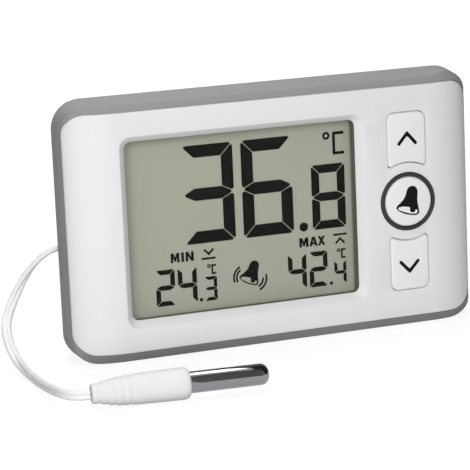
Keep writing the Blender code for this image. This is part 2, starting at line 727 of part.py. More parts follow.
def make_keys(white, dark, grey, black):
    """Three keys, the alarm key's ring, and a switch with its plunger behind each key."""
    heights = {"up": MID_Z + KEY_MIDDLE, "alarm": MID_Z, "down": MID_Z - KEY_MIDDLE}
    for name, level in (("up", 1), ("down", -1)):
        flange = key_outline(level, KEY_FLANGE_REACH)
        make_key(name + "_key", key_outline(level, 0.0), flange, heights[name], white)
    centre = (KEY_X, MID_Z)
    disc = arc(centre, ALARM_RADIUS, 0.0, 2 * pi, 40)[:-1]
    flange = arc(centre, RING_BORE + KEY_FLANGE_REACH, 0.0, 2 * pi, 40)[:-1]
    make_key("alarm_key", disc, flange, MID_Z, white)

    front = -RING_PROUD
    back = RING_SEAT - GAP
    profile = [(RING_BORE, front), (RING_RADIUS, front), (RING_RADIUS, back), (RING_BORE, back)]
    turned("alarm_ring", profile + profile[:1], along_depth(*centre), dark, sides=48)

    bore_depth = PLUNGER_LENGTH - PLUNGER_OUT + KEY_TRAVEL + GAP
    half = SWITCH_SIZE / 2
    for name, z in heights.items():
        case = box(
            name + "_switch",
            (KEY_X - half, KEY_X + half),
            (SWITCH_FRONT, SWITCH_FRONT + SWITCH_HEIGHT),
            (z - half, z + half),
        )
        bore = (SWITCH_FRONT - GAP, SWITCH_FRONT + bore_depth)
        cut(case, rod("bore", PLUNGER_RADIUS + GAP, bore, KEY_X, z, sides=24))
        dress(case, grey)
        span = (PLUNGER_FRONT, PLUNGER_FRONT + PLUNGER_LENGTH)
        plunger = rod(name + "_plunger", PLUNGER_RADIUS, span, KEY_X, z, black, sides=24)
        move_origin(plunger, (KEY_X, FACE_Y, z))


def make_board(fibre, black, metal, dark):
    """Circuit board with its chip, crystal and buzzer."""
    left = WINDOW_X - FRAME_WIDTH / 2
    right = CASE_SCREW_X - BOSS_RADIUS - GAP
    low = GLASS_Z - FRAME_HEIGHT / 2
    shelf = CELL_Z - TUB_HEIGHT / 2 - DOOR_LEDGE - TUB_WALL - GAP
    top = MID_Z + KEY_REACH + KEY_FLANGE_REACH
    lower = [(left, shelf), (left, low), (right, low)]
    outline = lower + [(right, top), (FRAME_RIGHT, top), (FRAME_RIGHT, shelf)]
    board = prism("circuit_board", outline, (BOARD_FRONT, BOARD_BACK))
    for x, z in board_screw_places():
        through = (BOARD_FRONT - GAP, BOARD_BACK + GAP)
        cut(board, rod("hole", BOARD_SCREW_RADIUS + GAP, through, x, z, sides=16))
    dress(board, fibre, smooth=False)

    on_back = BOARD_BACK + GAP
    half = CHIP_SIZE / 2
    box(
        "controller_chip",
        (WINDOW_X - half, WINDOW_X + half),
        (on_back, on_back + CHIP_HEIGHT),
        (WINDOW_Z - CHIP_SIZE - half, WINDOW_Z - CHIP_SIZE + half),
        black,
    )
    profile = [(0.0, 0.0), (CRYSTAL_RADIUS, 0.0), (CRYSTAL_RADIUS, CRYSTAL_LENGTH), (0.0, CRYSTAL_LENGTH)]
    beside = along_x(WINDOW_X + CHIP_SIZE, on_back + CRYSTAL_RADIUS, WINDOW_Z - CHIP_SIZE)
    turned("quartz_crystal", profile, beside, metal, sides=16)
    rod("buzzer", BUZZER_RADIUS, (on_back, on_back + BUZZER_HEIGHT), KEY_X, MID_Z - KEY_MIDDLE, dark)


def make_battery(wrap, metal, surface):
    """Cell, spring, contact plate and battery door."""
    start = TUB_LEFT + GAP + SPRING_LENGTH + GAP
    nub = CELL_LENGTH + CELL_NUB_LENGTH
    profile = [
        (0.0, 0.0), (CELL_RADIUS, 0.0), (CELL_RADIUS, CELL_LENGTH),
        (CELL_NUB_RADIUS, CELL_LENGTH), (CELL_NUB_RADIUS, nub), (0.0, nub),
    ]
    turned("battery_cell", profile, along_x(start, CELL_DEPTH, CELL_Z), wrap)

    per_turn = 14
    count = int(SPRING_TURNS * per_turn)
    rise = SPRING_LENGTH - 2 * SPRING_WIRE
    points = []
    for step in range(count + 1):
        share = step / count
        turn = 2 * pi * SPRING_TURNS * share
        x = TUB_LEFT + GAP + SPRING_WIRE + rise * share
        points.append((
            x,
            deep(CELL_DEPTH) + SPRING_RADIUS * cos(turn),
            CELL_Z + SPRING_RADIUS * sin(turn),
        ))
    wire("battery_spring", points, SPRING_WIRE, metal, sides=1)

    plate = start + nub + GAP
    half = CONTACT_SIZE / 2
    box(
        "battery_contact",
        (plate, plate + CONTACT_THICKNESS),
        (CELL_DEPTH - half, CELL_DEPTH + half),
        (CELL_Z - half, CELL_Z + half),
        metal,
    )

    grow = DOOR_LEDGE - GAP
    width = TUB_LENGTH + 2 * grow
    height = TUB_HEIGHT + 2 * grow
    door = prism(
        "battery_door", rounded(width, height, GAP, (CELL_X, CELL_Z), steps=2), (DOOR_FRONT, BODY_DEPTH)
    )
    grip_x = CELL_X + TUB_LENGTH / 2 - DOOR_GRIP_RADIUS
    grip = (BODY_DEPTH - DOOR_THICKNESS / 2, BODY_DEPTH + GAP)
    cut(door, rod("grip", DOOR_GRIP_RADIUS, grip, grip_x, CELL_Z, sides=28))
    dress(door, surface)
    move_origin(door, (CELL_X, deep(DOOR_FRONT), CELL_Z))


def make_stand(surface):
    """Folding stand with its barrel and pins on the hinge axis."""
    half = STAND_WIDTH / 2
    radius = STAND_THICKNESS / 2
    depths = (STAND_HINGE_DEPTH - radius, STAND_HINGE_DEPTH + radius)
    barrel = [(0.0, -half), (radius, -half), (radius, half), (0.0, half)]
    hinge = along_x(0.0, STAND_HINGE_DEPTH, STAND_HINGE_Z)
    stand = turned("stand", barrel, hinge, sides=24)
    plate = rounded(STAND_WIDTH, STAND_LENGTH, radius, (0.0, STAND_HINGE_Z - STAND_LENGTH / 2))
    join(stand, prism("plate", plate, depths))
    tip = half + PIN_LENGTH
    pins = [(0.0, -tip), (PIN_RADIUS, -tip), (PIN_RADIUS, tip), (0.0, tip)]
    join(stand, turned("pins", pins, hinge, sides=16))
    dress(stand, surface)
    move_origin(stand, (0.0, deep(STAND_HINGE_DEPTH), STAND_HINGE_Z))


def make_screws(metal):
    """Four case screws from the back and two board screws."""
    head = SCREW_SEAT + GAP
    tip = head - SCREW_LENGTH + 2 * GAP
    top = head + SCREW_HEAD_HEIGHT
    profile = [
        (0.0, tip), (SCREW_RADIUS, tip), (SCREW_RADIUS, head),
        (SCREW_HEAD_RADIUS, head), (SCREW_HEAD_RADIUS, top), (0.0, top),
    ]
    for number, place in enumerate(case_screw_places(), start=1):
        screw = turned(f"case_screw_{number}", profile, along_depth(*place), sides=20)
        cross_slot(screw, place, top, SCREW_HEAD_RADIUS, SCREW_HEAD_HEIGHT)
        dress(screw, metal)

    head = BOARD_BACK + GAP
    tip = head - BOARD_SCREW_LENGTH + GAP
    top = head + BOARD_SCREW_HEAD / 2
    profile = [
        (0.0, tip), (BOARD_SCREW_RADIUS, tip), (BOARD_SCREW_RADIUS, head),
        (BOARD_SCREW_HEAD, head), (BOARD_SCREW_HEAD, top), (0.0, top),
    ]
    for number, place in enumerate(board_screw_places(), start=1):
        screw = turned(f"board_screw_{number}", profile, along_depth(*place), sides=16)
        cross_slot(screw, place, top, BOARD_SCREW_HEAD, BOARD_SCREW_HEAD / 2)
        dress(screw, metal)


def cross_slot(screw, place, top, radius, height):
    """Cut a cross recess into a screw head."""
    x, z = place
    long = radius / 2
    thin = radius / 6
    depths = (top - height / 2, top + GAP)
    cut(
        screw,
        box("slot", (x - long, x + long), depths, (z - thin, z + thin)),
        box("slot", (x - thin, x + thin), depths, (z - long, z + long)),
    )


def smooth_line(route, spacing):
    """Evenly spaced points on a smooth curve through the points of a route of the lead."""
    corner = Vector((LEFT_X, BACK_Y, 0.0))
    points = [corner + Vector(point) for point in route]
    ends = [2 * points[0] - points[1], *points, 2 * points[-1] - points[-2]]
    fine = []
    steps = 24
    for before, start, end, after in zip(ends, ends[1:], ends[2:], ends[3:]):
        for step in range(steps):
            share = step / steps
            bend = 2 * before - 5 * start + 4 * end - after
            twist = 3 * start - before - 3 * end + after
            fine.append(start + (end - before) * share / 2 + bend * share ** 2 / 2 + twist * share ** 3 / 2)
    fine.append(points[-1])
    total = sum((after - before).length for before, after in zip(fine, fine[1:]))
    step = total / max(1, round(total / spacing))
    line = [fine[0]]
    walked = 0.0
    for before, after in zip(fine, fine[1:]):
        walked += (after - before).length
        if walked >= step * len(line) - step / 1000:
            line.append(after)
    line[-1] = fine[-1]
    return line


def wire(name, points, radius, surface, sides=2):
    """Round tube along a line of points, with filled ends."""
    curve = bpy.data.curves.new(name, "CURVE")
    curve.dimensions = "3D"
    curve.bevel_depth = radius
    curve.bevel_resolution = sides
    curve.use_fill_caps = True
    spline = curve.splines.new("POLY")
    spline.points.add(len(points) - 1)
    for spot, point in zip(spline.points, points):
        spot.co = (*point, 1.0)
    spline.use_smooth = True
    curve.materials.append(surface)
    thing = bpy.data.objects.new(name, curve)
    bpy.context.collection.objects.link(thing)


def make_lead(jacket, rubber, paper):
    """Grommet, the lead's free stretches, its coil with a tie, and its tail inside."""
    wall = BODY_DEPTH - BACK_WALL
    inner = wall - GAP
    outer = BODY_DEPTH + GAP
    tip = outer + GROMMET_NOSE_LENGTH
    shoulder = outer + GROMMET_FLANGE
    profile = [
        (0.0, inner - GROMMET_FLANGE),
        (GROMMET_FLANGE_RADIUS, inner - GROMMET_FLANGE),
        (GROMMET_FLANGE_RADIUS, inner),
        (GROMMET_NECK_RADIUS, inner),
        (GROMMET_NECK_RADIUS, outer),
        (GROMMET_NOSE_RADIUS, outer),
        (GROMMET_NOSE_RADIUS, shoulder),
        (GROMMET_TIP_RADIUS, tip),
        (0.0, tip),
    ]
    turned("cord_grommet", profile, along_depth(GROMMET_X, GROMMET_Z), rubber, sides=24)

    spacing = 5 * CORD_RADIUS
    wire("lead_tail", smooth_line(TAIL_ROUTE, spacing / 2), CORD_RADIUS, jacket)
    wire("lead_exit", smooth_line(EXIT_ROUTE, spacing / 2), CORD_RADIUS, jacket)
    wire("sensor_lead", smooth_line(LEAD_ROUTE, spacing / 2), CORD_RADIUS, jacket)

    low = COIL_BOTTOM
    top = low + COIL_HEIGHT
    near = COIL_RADIUS - COIL_HALF_WIDTH
    far = COIL_RADIUS + COIL_HALF_WIDTH
    profile = [(near, low), (far, low), (far, top), (near, top), (near, low)]
    turned("lead_coil", profile, Matrix.Translation((COIL_X, COIL_Y, 0.0)), jacket, sides=40)

    middle = COIL_Y + COIL_RADIUS
    tie = tie_box("coil_tie", middle, low, top, GAP + TIE_THICKNESS, TIE_WIDTH)
    cut(tie, tie_box("tie_hole", middle, low, top, GAP, 2 * TIE_WIDTH))
    dress(tie, paper, smooth=False)


def tie_box(name, middle, low, top, grow, width):
    """Box round the coil's section, on the coil's far side."""
    half = COIL_HALF_WIDTH + grow
    depths = (middle - half - FACE_Y, middle + half - FACE_Y)
    return box(name, (COIL_X - width / 2, COIL_X + width / 2), depths, (low - grow, top + grow))


def boot_profile():
    """Outline of the probe's boot from its thin end, with ribs on the taper, as (radius, length)."""
    profile = [(0.0, 0.0)]
    for rib in range(BOOT_RIBS):
        for share in (0.0, 0.5, 1.0):
            along = BOOT_TAPER * (rib + share) / BOOT_RIBS
            bulge = 0.0 if share == 0.5 else -BOOT_RIB_DEPTH
            taper = sqrt(along / BOOT_TAPER)
            profile.append((BOOT_NECK_RADIUS + (BOOT_RADIUS - BOOT_NECK_RADIUS) * taper + bulge, along))
    round_end = TUBE_RADIUS / 3
    middle = (BOOT_RADIUS - round_end, BOOT_LENGTH - round_end)
    profile.append((BOOT_RADIUS, BOOT_TAPER + round_end))
    profile += arc(middle, round_end, 0.0, pi / 2, 4)
    bore = TUBE_RADIUS + GAP
    floor = BOOT_LENGTH - TUBE_IN - GAP
    return profile + [(bore, BOOT_LENGTH), (bore, floor), (0.0, floor)]


def tube_profile():
    """Outline of the steel tube from its open rear end to its round tip, as (radius, length)."""
    rear = BOOT_LENGTH - TUBE_IN
    tip = BOOT_LENGTH + TUBE_OUT
    bore = TUBE_RADIUS - TUBE_WALL
    middle = (TUBE_RADIUS - TIP_ROUND, tip - TIP_ROUND)
    profile = [(0.0, tip - TIP_ROUND), (bore, tip - TIP_ROUND), (bore, rear), (TUBE_RADIUS, rear)]
    return profile + arc(middle, TIP_ROUND, 0.0, pi / 2, 5) + [(0.0, tip)]


def make_probe(rubber, steel, resin):
    """Rubber boot, steel tube and the sensing bead inside the tube."""
    place = Matrix.Translation((PROBE_X, PROBE_Y, PROBE_Z))
    place = place @ Matrix.Rotation(PROBE_ANGLE, 4, "Z") @ Matrix.Rotation(pi / 2, 4, "Y")
    turned("probe_boot", boot_profile(), place, rubber, sides=28)
    turned("probe_tube", tube_profile(), place, steel, sides=28)
    front = BOOT_LENGTH + TUBE_OUT - TIP_ROUND - GAP
    radius = TUBE_RADIUS - TUBE_WALL - GAP
    bead = [(0.0, front - BEAD_LENGTH), (radius, front - BEAD_LENGTH), (radius, front), (0.0, front)]
    turned("thermistor", bead, place, resin, sides=20)


def main():
    for thing in list(bpy.data.objects):
        bpy.data.objects.remove(thing)

    white = material("white_plastic", (0.83, 0.83, 0.82), 0.42)
    grey = material("grey_plastic", (0.24, 0.25, 0.26), 0.5)
    dark = material("dark_plastic", (0.035, 0.035, 0.037), 0.38)
    black = material("black_plastic", (0.02, 0.02, 0.02), 0.5)
    lens = material("clear_plastic", (0.9, 0.92, 0.9), 0.08, alpha=0.15)
    gasket = material("black_rubber", (0.018, 0.018, 0.018), 0.62)
    sleeve = material("white_rubber", (0.80, 0.80, 0.79), 0.5)
    glass = material("display_glass", (0.36, 0.38, 0.28), 0.12)
    foil = material("silver_foil", (0.6, 0.61, 0.55), 0.35, 0.6)
    strip = material("pink_rubber", (0.6, 0.3, 0.28), 0.6)
    fibre = material("board_green", (0.03, 0.16, 0.07), 0.45)
    metal = material("zinc_steel", (0.62, 0.62, 0.62), 0.32, 1.0)
    steel = material("stainless_steel", (0.6, 0.6, 0.6), 0.2, 1.0)
    wrap = material("cell_wrap", (0.09, 0.1, 0.12), 0.35)
    jacket = material("lead_jacket", (0.78, 0.78, 0.77), 0.42)
    paper = material("tie_paper", (0.03, 0.03, 0.03), 0.5)
    resin = material("bead_resin", (0.02, 0.02, 0.03), 0.3)

    make_cover(white)
    make_housing(grey)
    make_display(lens, gasket, glass, foil, black, strip)
    make_keys(white, dark, grey, black)
    make_board(fibre, black, metal, dark)
    make_battery(wrap, metal, grey)
    make_stand(grey)
    make_screws(metal)
    make_lead(jacket, sleeve, paper)
    make_probe(sleeve, steel, resin)


main()
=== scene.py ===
"""Looks of a digital thermometer with an alarm and a wired steel probe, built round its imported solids.

Shapes are drawn in millimetres: x to the right, y from the flat front of the cover towards the back, z up
from the floor. They become metres, in the frame of the solids, when they are finished. The lead is drawn in
metres.
"""

from math import asin, cos, hypot, pi, radians, sin, sqrt

import bmesh
import bpy
from mathutils import Matrix, Vector


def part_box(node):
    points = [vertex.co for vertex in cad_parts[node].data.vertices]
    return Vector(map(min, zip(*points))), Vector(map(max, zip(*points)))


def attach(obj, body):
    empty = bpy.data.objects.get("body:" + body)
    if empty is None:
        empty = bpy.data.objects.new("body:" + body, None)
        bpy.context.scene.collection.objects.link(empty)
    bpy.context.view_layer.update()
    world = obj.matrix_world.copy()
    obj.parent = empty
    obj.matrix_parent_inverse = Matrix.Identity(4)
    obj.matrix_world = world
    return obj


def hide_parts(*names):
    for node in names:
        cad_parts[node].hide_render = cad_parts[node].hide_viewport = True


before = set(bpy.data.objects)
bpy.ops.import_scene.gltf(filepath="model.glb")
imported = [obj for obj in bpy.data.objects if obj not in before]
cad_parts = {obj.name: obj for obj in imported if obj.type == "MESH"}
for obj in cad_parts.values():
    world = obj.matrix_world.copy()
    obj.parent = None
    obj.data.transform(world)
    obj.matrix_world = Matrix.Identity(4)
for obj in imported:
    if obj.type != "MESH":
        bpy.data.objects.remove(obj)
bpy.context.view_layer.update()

# Metres: one millimetre, and how near vertices are when they are merged
MM = 0.001
MERGE = 2e-6
FACE_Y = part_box("front_cover")[0].y
TO_METRES = Matrix.Translation((0.0, FACE_Y, 0.0)) @ Matrix.Scale(MM, 4)

# Camera: place and direction, roll in degrees, lens and sensor in millimetres
CAMERA_PLACE = (-0.21241, -0.55256, 0.14766)
CAMERA_LOOK = (0.3383, 0.9198, -0.1987)
CAMERA_ROLL = -2.56
CAMERA_LENS = 172.34
CAMERA_SENSOR = 36.0

# Housing and cover: four corner radii go from the lower left to the right and round, and a side that curves
# in has its first inset and depth, how far it goes in and back, and its steps
COVER = (113.6, 63.1)
COVER_MIDDLE = (-0.12, 34.12)
COVER_CORNERS = (5.2, 6.8, 6.4, 5.2)
COVER_THICKNESS = 2.4
COVER_EDGE = 0.35
LEAST_CORNER = 0.8
BODY = (114.8, 68.6)
RIM_CORNERS = (6.4, 7.4, 9.3, 7.4)
SIDE_CORNERS = (6.0, 7.4, 5.8, 8.1)
BODY_DEPTH = 22.4
MID_Z = 34.3
MIDDLE = (0.0, MID_Z)
SEAM = 0.07
SEAT_DEPTH = 2.7
SEAT_LIP = 0.08
RIM_EDGE = [(0.26, 0.0), (0.08, 0.06), (0.0, 0.25)]
RIM_TOP_SLOPE = 0.25
RIM_TOP_DROP = 0.34
RIM_DROP_FADE = (44.0, 50.0)
RIM_LOW_SLOPE = 2.0 / 2.75
RIM_END_SLOPE = 2.5
SIDE_DEPTH = 12.5
SIDE = (0.15, SIDE_DEPTH, 6.25, BODY_DEPTH - SIDE_DEPTH, 12)
BACK_WALL_FRONT = 20.3
BEHIND = 22.7
CAVITY_FRONT = (0.95, 1.0)
CAVITY_SIDE = (0.95, SIDE_DEPTH, 2.6, 8.1, 4)
END_START = 44.0
END_LENGTH = 13.5
END_DEPTHS = (9.2, 8.0)
END_COLUMNS = 18

# Window in the cover: its outer edge, its opening, and shares of the way between them at depths
WINDOW = (68.0, 50.4)
WINDOW_MIDDLE = (-9.55, 34.0)
WINDOW_CORNER = 3.1
OPENING = (64.4, 47.05)
OPENING_MIDDLE = (-9.55, 34.125)
OPENING_CORNER = 1.9
WINDOW_FRAME = [(-0.11, 0.0), (-0.04, 0.03), (0.03, 0.12), (0.93, 1.98), (1.0, 2.15), (1.0, 2.4)]

# Keys and the alarm ring, with the depth, radius and rounding of each corner of the ring
KEY_X = 36.73
KEY_WIDTH = 11.0
KEY_REACH = 24.15
KEY_ARC = 10.75
KEY_CORNER = 2.1
KEY_TIP = 1.4
KEY_TOP = -0.5
KEY_BOTTOM = 3.1
KEY_EDGE = 0.5
KEY_SKIRT = (0.05, 0.5)
HOLE_EDGE = [(0.4, 0.0), (0.31, 0.03), (0.24, 0.13), (0.24, 2.4)]
ALARM_RADIUS = 6.7
RING_PROFILE = [(-0.4, 6.9, 0.25), (-0.4, 7.9, 0.25), (0.9, 7.9, 0), (0.9, 6.9, 0)]
PRINT_PROUD = 0.02
PRINT_THICKNESS = 0.06
RING_SEAT = [(8.05, 0.0), (7.98, 0.1), (7.98, 1.2), (6.85, 1.2), (6.85, 2.4)]

# Battery tub and door, with the radius and depth of each ring of the door's finger dish
CELL_MIDDLE = (-13.0, 47.8)
TUB = (50.1, 11.1)
TUB_FRONT = 9.7
TUB_CORNER = 0.4
TUB_SIDE_WALL = 2.1
TUB_FRONT_WALL = 1.2
DOOR = (51.3, 12.3)
DOOR_FRONT = 20.8
DOOR_CORNER = 0.9
DOOR_EDGE = 0.4
DOOR_LEDGE = 0.9
DOOR_ROOM = 0.3
GRIP_X = 7.55
GRIP_DISH = [(4.6, 22.4), (4.45, 22.36), (4.3, 22.2), (3.9, 21.8), (3.2, 21.62), (1.6, 21.55)]

# Stand, its recess, the radius, reach and edge of its pins and of their holes, and the notch under its foot
STAND_WIDTH = 16.0
STAND_THICKNESS = 2.4
STAND_FOOT = 8.8
STAND_HINGE = (20.8, 35.05)
STAND_EDGE = 0.3
STAND_ROOM = 0.4
STAND_SIDE_ROOM = 0.3
STAND_WALL = 2.2
RECESS_CORNER = 1.4
BLOCK_CORNER = 0.5
PINS = (0.8, 1.2, 0.2)
PIN_HOLES = (1.1, 1.5, 0)
NOTCH = (8.0, 4.8)
NOTCH_CORNER = 1.2
NOTCH_BELOW = 0.8

# Screw holes, each with its radius and first depth, the lead's guide and outlet, and the sound slots
SCREW_X = 48.5
SCREW_Z = 23.7
SCREW_SLEEVE = (3.6, 13.3)
COUNTERBORE = (2.4, 17.0)
SCREW_HOLE = (1.3, 13.0)
GUIDE_MIDDLE = (-53.7, 28.2)
GUIDE = (19.4, 9.6)
GUIDE_FRONT = 17.0
GUIDE_WALL = 1.8
GUIDE_CORNER = 1.6
GUIDE_BLOCK_CORNER = 1.0
OUTLET = (-14.5, 12.0)
OUTLET_HOLE = (2.3, BACK_WALL_FRONT)
SLOT = (12.0, 1.2)
SLOT_CORNER = 0.55
SLOT_PITCH = 3.0
SLOTS_BELOW = 17.475

# Sensor lead, in metres: the routes of the solids, how far it turns its edge to the camera, and its coil
CORD_WIDTH = 0.0026
CORD_THICKNESS = 0.00145
CORD_STEP = 0.0012
EXIT_ROUTE = [
    (-0.0145, 0.0163, 0.012), (-0.0145, 0.019, 0.0117),
    (-0.0143, 0.0225, 0.0102), (-0.014, 0.0253, 0.0082),
]
LEAD_ROUTE = [
    (-0.0464, 0.0217, 0.0021), (-0.0464, 0.0187, 0.0027), (-0.0464, 0.0158, 0.005),
    (-0.0465, 0.0141, 0.0095), (-0.0466, 0.0136, 0.0155), (-0.0469, 0.0133, 0.0204),
    (-0.0482, 0.0123, 0.02525), (-0.0516, 0.0099, 0.02825), (-0.0561, 0.0087, 0.02845),
    (-0.0594, 0.0091, 0.02715), (-0.0621, 0.0101, 0.02475), (-0.0647, 0.0112, 0.02115),
    (-0.0675, 0.0114, 0.01645), (-0.07, 0.0096, 0.01255), (-0.072, 0.0054, 0.00935),
    (-0.07285, -0.0014, 0.00575), (-0.07205, -0.0065, 0.00275), (-0.07185, -0.0158, 0.0018),
    (-0.0723, -0.0299, 0.0026), (-0.0723, -0.0399, 0.0036), (-0.0718, -0.0441, 0.004),
    (-0.0705, -0.0468, 0.004), (-0.0686, -0.0483, 0.004), (-0.0661, -0.0486, 0.004),
]
LEAD_EDGE = [0, 0, 0, 1, 1, 1, 1, 1, 1, 1, 1, 0.67, 0.33, 0, 0.1, 0.45, 0.25, 0, 0, 0, 0, 0, 0, 0]
COIL_MIDDLE = (-0.03, 0.031)
COIL_OUTER = 0.01645
COIL_PITCH = 0.00131
COIL_STEP_OUT = 0.00165
COIL_TOP = 0.0048
COIL_LOW = 0.0021
COIL_TURNS = 4.5
COIL_POINTS = 40

# Probe, along its axis from the boot's thin end
PROBE_PLACE = (-65.82, -48.67, 4.05)
PROBE_ANGLE = radians(-4.73)
PROBE_AXIS = (
    Matrix.Translation((0.0, -FACE_Y / MM, 0.0)) @ Matrix.Translation(PROBE_PLACE)
    @ Matrix.Rotation(PROBE_ANGLE, 4, "Z") @ Matrix.Rotation(pi / 2, 4, "Y")
)
BOOT_LENGTH = 24.4
TUBE_RADIUS = 2.7
TUBE_BORE = 2.2
TUBE_TIP = 2.0
TUBE_START = 16.4
TUBE_END = 44.6

# Display: the middle of its figures, where painted shade darkens its ground at the frame's edge, the width,
# height, stroke and gap of each kind of figure, their strokes, and outlines of letters in a unit square
INK_PLACE = (0.12, 6.44, 34.32)
INK_THICKNESS = 0.04
PAINTED_GROUND_SHADE = (-0.2, 0.9)
GROUND_BEYOND = 1.2
LARGE = (14.36, 26.25, 3.3, 0.09)
LARGE_TENTH = (9.7, 17.52, 2.3, 0.09)
SMALL = (5.3, 9.7, 1.28, 0.07)
SMALL_TENTH = (3.5, 6.5, 0.9, 0.06)
STROKES = {"2": "abged", "3": "abgcd", "4": "fgbc", "6": "afgedc", "8": "abcdefg"}
LETTERS = {
    "M": [[
        (0, 0), (0, 1), (0.33, 1), (0.5, 0.54), (0.67, 1), (1, 1), (1, 0), (0.73, 0), (0.73, 0.53),
        (0.58, 0.1), (0.42, 0.1), (0.27, 0.53), (0.27, 0),
    ]],
    "I": [[(0, 0), (0, 1), (1, 1), (1, 0)]],
    "N": [[
        (0, 0), (0, 1), (0.32, 1), (0.69, 0.42), (0.69, 1), (1, 1), (1, 0), (0.68, 0), (0.31, 0.58),
        (0.31, 0),
    ]],
    "A": [
        [(0, 0), (0.34, 1), (0.66, 1), (1, 0), (0.71, 0), (0.65, 0.2), (0.35, 0.2), (0.29, 0)],
        [(0.41, 0.4), (0.5, 0.7), (0.59, 0.4)],
    ],
    "X": [[
        (0, 0), (0.33, 0.51), (0.02, 1), (0.35, 1), (0.5, 0.73), (0.65, 1), (0.98, 1), (0.67, 0.51), (1, 0),
        (0.67, 0), (0.5, 0.29), (0.33, 0),
    ]],
}


def linear(colour):
    """Linear colour of an sRGB hex value."""
    parts = [int(colour[start:start + 2], 16) / 255 for start in (0, 2, 4)]
    return (*(part / 12.92 if part <= 0.04045 else ((part + 0.055) / 1.055) ** 2.4 for part in parts), 1.0)


def grain(size):
    """Scale of a pattern with features of a size in millimetres."""
    return 1.0 / (size * MM)


def node(owner, kind, inputs, **settings):
    """Outputs of a new node with values, sRGB hex colours or links on its inputs, and with settings."""
    tree = owner.node_tree
    made = tree.nodes.new("ShaderNode" + kind)
    for name, value in settings.items():
        setattr(made, name, value)
    for name, value in inputs.items():
        if isinstance(value, bpy.types.NodeSocket):
            tree.links.new(value, made.inputs[name])
        else:
            made.inputs[name].default_value = linear(value) if isinstance(value, str) else value
    return made.outputs


def blank(name):
    """New material with nothing in it, and its object coordinates."""
    material = bpy.data.materials.new(name)
    material.use_nodes = True
    material.node_tree.nodes.clear()
    return material, node(material, "TexCoord", {})["Object"]


def noise(material, place, size, detail=2.0):
    """Cloudy pattern with features of a size in millimetres."""
    return node(material, "TexNoise", {"Vector": place, "Scale": grain(size), "Detail": detail})["Fac"]


def blend(material, share, first, second):
    """Colour that goes from one to another."""
    return node(material, "MixRGB", {"Fac": share, "Color1": first, "Color2": second})["Color"]


def spread(material, value, low, high):
    """Pattern spread over a range of values."""
    return node(material, "MapRange", {"Value": value, "To Min": low, "To Max": high})["Result"]


def step_up(material, value, start, end, **settings):
    """Rise from 0 to 1 between two values."""
    inputs = {"Value": value, "From Min": start, "From Max": end}
    return node(material, "MapRange", inputs, **settings)["Result"]


def sums(owner, operation, *values):
    """Result of a sum on values or links."""
    return node(owner, "Math", dict(enumerate(values)), operation=operation)[0]


def seen(owner):
    """1 for rays of the camera, of reflections and through clear sheets, otherwise 0."""
    path = node(owner, "LightPath", {})
    mirrored = sums(owner, "MAXIMUM", path["Is Camera Ray"], path["Is Glossy Ray"])
    return sums(owner, "MAXIMUM", mirrored, path["Is Transmission Ray"])


def relief(material, height, strength, depth):
    """Bumps as deep as a size in millimetres."""
    return node(material, "Bump", {"Height": height, "Strength": strength, "Distance": depth * MM})["Normal"]


def close(material, shader):
    """Put a shader on a material's output."""
    node(material, "OutputMaterial", {"Surface": shader})
    return material


def coat(material, colour, roughness, **more):
    """Close a material with a surface of a colour, a roughness and further inputs."""
    inputs = {"Base Color": colour, "Roughness": roughness, **more}
    return close(material, node(material, "BsdfPrincipled", inputs)[0])


def moulded(name, light, dark, roughness, spark, bump, shine=0.5):
    """Plastic or rubber: slow clouds of colour and a fine grain that breaks up the gloss."""
    material, place = blank(name)
    tint = blend(material, noise(material, place, 18.0, 3.0), dark, light)
    fine = noise(material, place, spark)
    gloss = spread(material, fine, roughness - 0.06, roughness + 0.06)
    bumps = relief(material, fine, bump, spark / 4)
    return coat(material, tint, gloss, Normal=bumps, **{"Specular IOR Level": shine})


def metal(name, light, dark, roughness, streak, along):
    """Drawn or plated metal: streaks along one axis in its colour and its gloss."""
    material, place = blank(name)
    stretched = node(material, "Mapping", {"Vector": place, "Scale": along})["Vector"]
    lines = noise(material, stretched, streak, 4.0)
    gloss = spread(material, lines, roughness * 0.6, roughness * 1.4)
    return coat(material, blend(material, lines, dark, light), gloss, Metallic=1.0)


def clear(name, colour, alpha, roughness):
    """Clear sheet with a faint gloss and a trace of haze."""
    material, place = blank(name)
    gloss = spread(material, noise(material, place, 9.0), roughness * 0.6, roughness * 1.4)
    return coat(material, colour, gloss, IOR=1.49, Alpha=alpha)


def display_ground():
    """Reflective polariser behind glass: an even olive grey, with painted shade that darkens it near and
    under the frame's edge.
    """
    material, place = blank("lcd_polariser_painted_shade")
    parts = node(material, "SeparateXYZ", {"Vector": place})
    halves = (OPENING[0] / 2, OPENING[1] / 2 + GROUND_BEYOND)
    outside = []
    for axis, middle, half in zip("XZ", OPENING_MIDDLE, halves):
        away = sums(material, "ABSOLUTE", sums(material, "SUBTRACT", parts[axis], middle * MM))
        outside.append(sums(material, "SUBTRACT", away, half * MM))
    # Painted shade: the ground turns to a darker olive grey (868879) near and under the frame's edge, where
    # the frame shades it
    edge = sums(material, "MAXIMUM", *outside)
    start, end = PAINTED_GROUND_SHADE
    shade = step_up(material, edge, start * MM, end * MM, interpolation_type="SMOOTHSTEP")
    even = blend(material, noise(material, place, 14.0), "BBBEAB", "BFC2AF")
    return coat(material, blend(material, shade, even, "868879"), 0.55)


def striped(name, first, second, pitch, roughness):
    """Layered strip: thin bands of two colours across its length."""
    material, place = blank(name)
    inputs = {"Vector": place, "Scale": 0.5 * grain(pitch) / pi, "Distortion": 0.2}
    bands = node(material, "TexWave", inputs, bands_direction="X")["Fac"]
    return coat(material, blend(material, bands, first, second), roughness)


def board_mask():
    """Green solder mask over copper: tracks show as lighter lines under a satin coat."""
    material, place = blank("fr4_solder_mask")
    inputs = {"Vector": place, "Scale": grain(2.2), "Randomness": 0.35}
    cells = node(material, "TexVoronoi", inputs, distance="MANHATTAN", feature="DISTANCE_TO_EDGE")["Distance"]
    gap = step_up(material, cells, 0.06, 0.12)
    return coat(material, blend(material, gap, "3E7A4C", "22552F"), 0.38)


